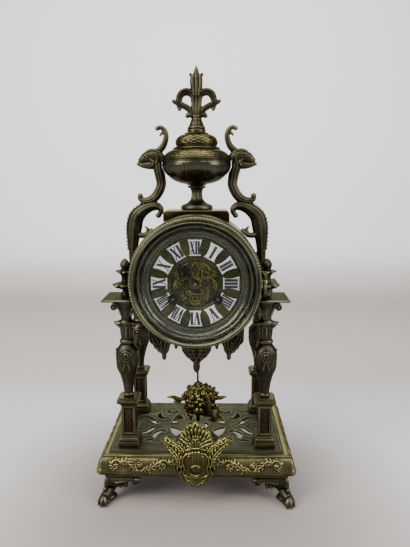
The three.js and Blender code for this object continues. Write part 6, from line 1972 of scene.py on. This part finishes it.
def head_parts():
    """Crest, head and muzzle of the beast, with eyes, brows, ears and cheeks on both sides."""
    parts = [
        limb(from_rim([9.2, 5.6, 3.8, 3.2], [3.8, 10.8, 3.7, 3.1], [-0.4, 15.2, 3.4, 2.9],
                      [-2.8, 20, 3.1, 2.8], [-4.0, 25, 2.9, 2.7], [-3.4, 30.2, 2.6, 2.6],
                      [-1.0, 33.6, 2.4, 2.5], [2.2, 35.0, 2.3, 2.4], [5.2, 34.4, 1.7, 2.2]),
             carve=ribbed(6, 0.1)),
        knob(from_rim([4.8, 34.0]), [2.8, 2.7, 2.5], 16, 10, tilt=20),
        limb(from_rim([-2.6, 29.4, 1.8, 2.4], [0.6, 29.0, 1.7, 2.2], [2.4, 26.6, 1.1, 1.6]), 10),
        limb(from_rim([1.2, 1.2, 5.4, 4.6], [4.6, 4.0, 7.0, 5.4], [9.0, 5.2, 7.4, 5.8],
                      [13.8, 5.0, 7.0, 5.6], [18.0, 3.6, 5.9, 5.0], [21.4, 1.8, 4.6, 4.2],
                      [23.6, 0.6, 3.3, 3.4], [25.0, 0.2, 2.0, 2.4]), 24),
        limb(from_rim([3.0, 9.0, 1.8, 4.2], [8.4, 11.2, 2.0, 4.6], [14, 11.0, 2.0, 4.6],
                      [18.2, 8.2, 1.7, 4.2], [19.2, 5.2, 1.0, 3.0]), 14),
        limb(from_rim([8.4, -2.6, 5.4, 4.4], [13.4, -3.8, 4.9, 4.2], [18.2, -4.0, 4.0, 3.8],
                      [22.4, -3.8, 3.0, 3.4], [25.2, -3.2, 2.2, 2.6]), 14),
        knob(from_rim([26.0, -2.8]), [2.3, 2.8, 2.1], 16, 10),
        knob(from_rim([24.6, 1.6]), [1.9, 2.3, 1.7], 16, 10)]
    for y in (-1, 1):
        parts += [
            knob(from_rim([16.2, 4.6]), [1.5, 1.2, 1.3], 14, 8, y * 4.6),
            limb(from_rim([13.6, 6.4, 0.8, 0.9], [16.2, 7.2, 0.9, 1.0], [18.8, 5.0, 0.6, 0.7]), 8,
                 y=y * 4.7),
            limb(from_rim([12.4, 1.8, 1.6, 1.4], [9.6, -1.4, 2.0, 1.6], [10.8, -4.8, 1.4, 1.2]), 10,
                 y=y * 4.2),
            limb(from_rim([8.4, 8.0, 1.2, 1.0], [5.8, 4.2, 1.8, 1.2], [5.6, -0.4, 1.4, 1.0],
                          [8.0, -3.4, 0.7, 0.7]), 10, y=y * 4.6),
            limb(from_rim([21.4, 1.2, 0.7, 0.8], [23.6, -0.6, 0.8, 0.9], [22.8, -3.0, 0.6, 0.7]), 8,
                 y=y * 2.4)]
    return parts


def scallops(loop):
    """Balls set along the outer edge of the lower loop."""
    path = spline(loop, 12)
    along = np.gradient(path[:, :2], axis=0)
    out = np.column_stack([-along[:, 1], along[:, 0]]) / np.hypot(along[:, 0], along[:, 1])[:, None]
    edge = path[:, :2] + out * path[:, 2:3]
    walked = np.concatenate([[0], np.cumsum(np.hypot(*np.diff(edge, axis=0).T))])
    return [knob([[np.interp(at, walked, edge[:, k]) for k in (0, 1)]], [1.9, 3.4, 1.9], 14, 8)
            for at in np.arange(22, 92, SCALLOP)]


def bracket_part():
    """The right bracket: head, neck with its scroll, lower loop and inner leaves."""
    neck = (from_rim([6.0, 1.0, 6.2, 5.0], [4.8, -6.0, 5.9, 4.9], [3.6, -12.6, 5.5, 4.7],
                     [2.4, -19, 5.2, 4.6], [2.2, -25.6, 5.1, 4.6])
            + from_flank([-24.8, 87.6, 5.0, 4.6], [-19.4, 81.6, 4.7, 4.4], [-13, 79.4, 3.9, 4.0],
                         [-8.4, 79.8, 3.2, 3.4], [-5.4, 82.0, 2.7, 3.0], [-5.4, 84.8, 1.8, 2.4]))
    loop = from_flank([-25.6, 64.4, 2.4, 3.4], [-27.8, 68.0, 3.0, 3.8], [-26.4, 72.0, 3.7, 4.4],
                      [-21, 73.8, 4.8, 4.8], [-14, 72.2, 5.7, 5.0], [-6.6, 67.8, 6.9, 5.2],
                      [-0.8, 60.8, 7.9, 5.4], [1.6, 50.4, 8.0, 5.4], [3.0, 40, 6.6, 5.2],
                      [3.6, 28, 5.2, 4.8], [4.2, 14, 4.3, 4.4], [4.3, 2, 3.4, 3.6], [4.2, -5, 1.2, 1.6])
    parts = head_parts()
    parts += [limb(neck, 36, ribbed(10, 0.16)),
              knob(from_flank([-5.6, 84.6]), [3.1, 3.4, 3.1], 18, 10),
              limb(loop, 30, ribbed(8, 0.1)),
              knob(from_flank([-25.0, 63.6]), [3.2, 4.0, 3.0], 18, 10)]
    parts += scallops(loop)
    for x, z in ((-17, 69.0), (-9.8, 65.0), (-5.4, 59.6), (-3.4, 52.6)):
        parts.append(knob(from_flank([x, z]), [1.6, 3.0, 1.6], 12, 8))
    parts += [
        limb(from_flank([2.4, 44.4, 4.2, 4.4], [-3.2, 42.4, 3.4, 4.2], [-8.6, 41.8, 3.0, 4.0],
                        [-13.4, 43.6, 3.0, 4.0], [-17.4, 46.8, 3.4, 4.0]), 16),
        limb(from_flank([-10.4, 43.4, 2.0, 3.2], [-12.6, 46.6, 1.9, 3.0], [-12.0, 50.0, 1.4, 2.4],
                        [-9.8, 51.0, 0.9, 1.6]), 12),
        limb(from_flank([2.4, 36, 1.6, 4.8], [2.0, 24, 1.4, 4.4], [2.2, 10, 1.0, 4.0]), 10)]
    verts, faces = merged(*parts)
    box_low, box_high = node_box("scroll_bracket_right")
    verts[:, 2] = np.clip(verts[:, 2], box_low[2], box_high[2])
    return verts, faces


# Outline of bowl and lid that the brackets keep clear of: height, and share of the bowl's radius
BOWL_GUARD = [
    (BOWL_LOW[2] - 0.3, 0), (BOWL_LOW[2] + 2, 0.42), (BOWL_LOW[2] + 5, 0.66), (BOWL_LOW[2] + 9.6, 0.83),
    (BOWL_LOW[2] + 14.6, 0.94), (BOWL_LOW[2] + 19, 1), (BOWL_HIGH[2], 1), (LID_FOOT + 2, 1),
    (LID_FOOT + 5, 0.92), (LID_FOOT + 8.2, 0.84), (LID_FOOT + 10.8, 0.72), (LID_FOOT + 16, 0.6),
]
GUARD_GAP = 0.35


def clear_of_bowl(thing):
    """Presses the bracket's metal back to the outside of the urn's bowl and lid."""
    co = in_plan(thing)
    levels = np.array([level for level, share in BOWL_GUARD])
    radii = np.array([share * (BOWL_HIGH[0] + 0.1) for level, share in BOWL_GUARD])
    limit = np.interp(co[:, 2], levels, radii, left=0, right=0) + GUARD_GAP
    away = np.hypot(co[:, 0], co[:, 1])
    inside = (away < limit) & (co[:, 2] > levels[0]) & (co[:, 2] < levels[-1])
    co[:, :2] *= np.where(inside, limit / np.maximum(away, 1e-6), 1.0)[:, None]
    set_points(thing, co)


def make_brackets():
    """Both brackets, kept clear of drum and bowl."""
    part = bracket_part()
    for side, sign in (("right", 1), ("left", -1)):
        thing = piece(f"beast_bracket_{side}", mirrored(part, [sign, 1, 1]), "clock", DARK,
                      [f"scroll_bracket_{side}"], melt=0.42, soften=1)
        clear_of_drum(thing, 0.3)
        clear_of_bowl(thing)


def make_base():
    """Moulding, pierced plate, cartouche and apron."""
    piece("foliage_base", moulding_part(), "clock", BASE, ["base_frame"], crisp=50, reach=0.8)
    piece("pierced_plate", base_plate_part(), "clock", TOP, ["base_plate"], crisp=60)
    piece("strapwork_cartouche", cartouche_part(), "clock", GILT_PALE, ["front_cartouche"],
          crisp=60, reach=0.8)
    piece("apron_pendants", apron_part(), "clock", DARK, ["drum_apron"], crisp=60, reach=0.8)


# Stage, light and camera
CAMERA_AT = (18.56, -539.89, 331.37)
CAMERA_YAW, CAMERA_PITCH, CAMERA_ROLL = -0.0184, 0.1716, -0.0024
FOCAL_PIXELS, LONG_SIDE, SENSOR = 492.13, 547, 36.0


# Slopes of the sight line between which the floor turns into the pale wall
WALL_SLOPES = (-0.251, -0.098)
# The floor is darker and warmer round the clock's front, a painted shadow and a painted warm reflection of
# the brass, and evens out behind it
SHADE_AT, SHADE_REACH, FLOOR_PALES = (0, -110 * MM, 0), (90 * MM, 330 * MM), (150 * MM, 330 * MM)


def stage_material():
    """A matt floor and a paler wall, told apart by the slope from the camera's place, with a painted shadow
    round the clock's front.
    """
    material, tree, shader, place = new_material("pale_backdrop")
    axes = node(tree, "ShaderNodeSeparateXYZ", {"Vector": place}).outputs
    height = worked(tree, "SUBTRACT", axes["Z"], CAMERA_AT[2] * MM)
    depth = worked(tree, "MAXIMUM", worked(tree, "SUBTRACT", axes["Y"], CAMERA_AT[1] * MM), MM)
    share = mapped(tree, worked(tree, "DIVIDE", height, depth), WALL_SLOPES,
                   interpolation_type="SMOOTHSTEP")
    # Painted shadow and painted warm reflection round the clock's front, fading out with distance
    away = node(tree, "ShaderNodeVectorMath", {0: place, 1: SHADE_AT}, operation="DISTANCE")
    spread = mapped(tree, away.outputs["Value"], SHADE_REACH, interpolation_type="SMOOTHSTEP")
    near = ramp(tree, spread, [(0.0, "7f7873"), (0.5, "989391"), (1.0, "aeadb4")])
    behind = mapped(tree, axes["Y"], FLOOR_PALES, interpolation_type="SMOOTHSTEP")
    ground = mixed(tree, behind, near, rgba("a59f9b"))
    wall = ramp(tree, share, [(0.0, "a59f9b"), (0.5, "c6c1be"), (1.0, "f8f8f9")])
    rising = worked(tree, "MULTIPLY_ADD", share, 4.0, 0.0, use_clamp=True)
    feed(tree, shader, {"Base Color": mixed(tree, rising, ground, wall), "Roughness": 0.85})
    return material


# The backdrop's section along Y: where its floor starts, where its wall stands and how high
FLOOR_FROM, WALL_AT, WALL_RISE, WALL_BEND, STAGE_HALF = -2600.0, 1000.0, 1500.0, 160.0, 2600.0


def make_stage():
    """A floor that curves up into a backdrop behind the clock."""
    foot, bend = WALL_AT - WALL_BEND, WALL_BEND
    line = [(FLOOR_FROM, 0.0), (foot, 0.0)]
    line += [(foot + bend * math.sin(a), bend - bend * math.cos(a))
             for a in np.linspace(0.1, math.pi / 2, 14)]
    line.append((WALL_AT, WALL_RISE))
    verts = np.array([[x, y, z] for x in np.linspace(-STAGE_HALF, STAGE_HALF, 5) for y, z in line])
    faces = flipped(grid_faces(5, len(line)).tolist())
    stage = as_object("floor_and_backdrop", to_mesh("floor_and_backdrop", (verts, faces)))
    stage.data.materials.append(stage_material())
    stage.data.shade_smooth()


LIT_AT = Vector((0, 0, 230))


def area_light(name, at, size, power, color):
    """A lamp that points at the middle of the clock."""
    light = bpy.data.lights.new(name, "AREA")
    light.shape = "RECTANGLE"
    light.size, light.size_y = size[0] * MM, size[1] * MM
    light.energy = power
    light.color = color
    thing = as_object(name, light)
    thing.location = Vector(at) * MM
    thing.rotation_euler = (LIT_AT - Vector(at)).to_track_quat("-Z", "Y").to_euler()


def make_lights():
    """Two windows, a ceiling, two small lamps and a pale world."""
    area_light("window_left", (-900, -700, 900), (700, 900), 26, (1.0, 0.98, 0.95))
    area_light("window_right", (950, -500, 700), (500, 800), 12, (0.95, 0.97, 1.0))
    area_light("ceiling", (0, -100, 1300), (1200, 900), 22, (1.0, 0.99, 0.97))
    area_light("lamp_left", (-260, -560, 900), (60, 60), 1.6, (1.0, 0.93, 0.8))
    area_light("lamp_right", (320, -620, 880), (60, 60), 1.2, (1.0, 0.93, 0.8))
    world = bpy.data.worlds.new("studio")
    bpy.context.scene.world = world
    world.use_nodes = True
    tree = world.node_tree
    ray = node(tree, "ShaderNodeLightPath", {}).outputs
    seen = worked(tree, "MAXIMUM", ray["Is Camera Ray"], ray["Is Transmission Ray"])
    seen = worked(tree, "MAXIMUM", seen, ray["Is Glossy Ray"])
    tint = mixed(tree, seen, (0.42, 0.42, 0.44, 1), (0.86, 0.87, 0.88, 1))
    feed(tree, tree.nodes["Background"], {"Color": tint, "Strength": 0.8})


def make_camera():
    """The camera of the photograph: its place and angles are fitted to the picture."""
    data = bpy.data.cameras.new("photo_camera")
    data.sensor_fit = "AUTO"
    data.sensor_width = SENSOR
    data.lens = FOCAL_PIXELS * SENSOR / LONG_SIDE
    data.clip_start = 0.02
    camera = as_object("photo_camera", data)
    yaw, pitch, roll = CAMERA_YAW, CAMERA_PITCH, CAMERA_ROLL
    ahead = Vector((math.sin(yaw) * math.cos(pitch), math.cos(yaw) * math.cos(pitch), -math.sin(pitch)))
    flat_right = Vector((math.cos(yaw), -math.sin(yaw), 0))
    flat_up = flat_right.cross(ahead)
    right = math.cos(roll) * flat_right + math.sin(roll) * flat_up
    up = -math.sin(roll) * flat_right + math.cos(roll) * flat_up
    turn = Matrix((right, up, -ahead)).transposed()
    camera.matrix_world = Matrix.Translation((Vector(CAMERA_AT) + Vector(OFFSET)) * MM) @ turn.to_4x4()
    bpy.context.scene.camera = camera


make_camera()
make_base()
make_pillars()
make_drum()
make_door()
make_bezel()
make_glass()
make_dial()
make_hands()
make_works()
make_bell_and_hammer()
make_rod()
make_bob()
make_plinth()
make_urn_foot()
make_bowl()
make_lid()
make_fleuron()
make_brackets()


for thing in bpy.data.objects:
    if thing.type == "MESH" and thing.name.startswith("anchor_crutch"):
        thing.data.materials.clear()
        thing.data.materials.append(CRUTCH)
make_stage()
make_lights()
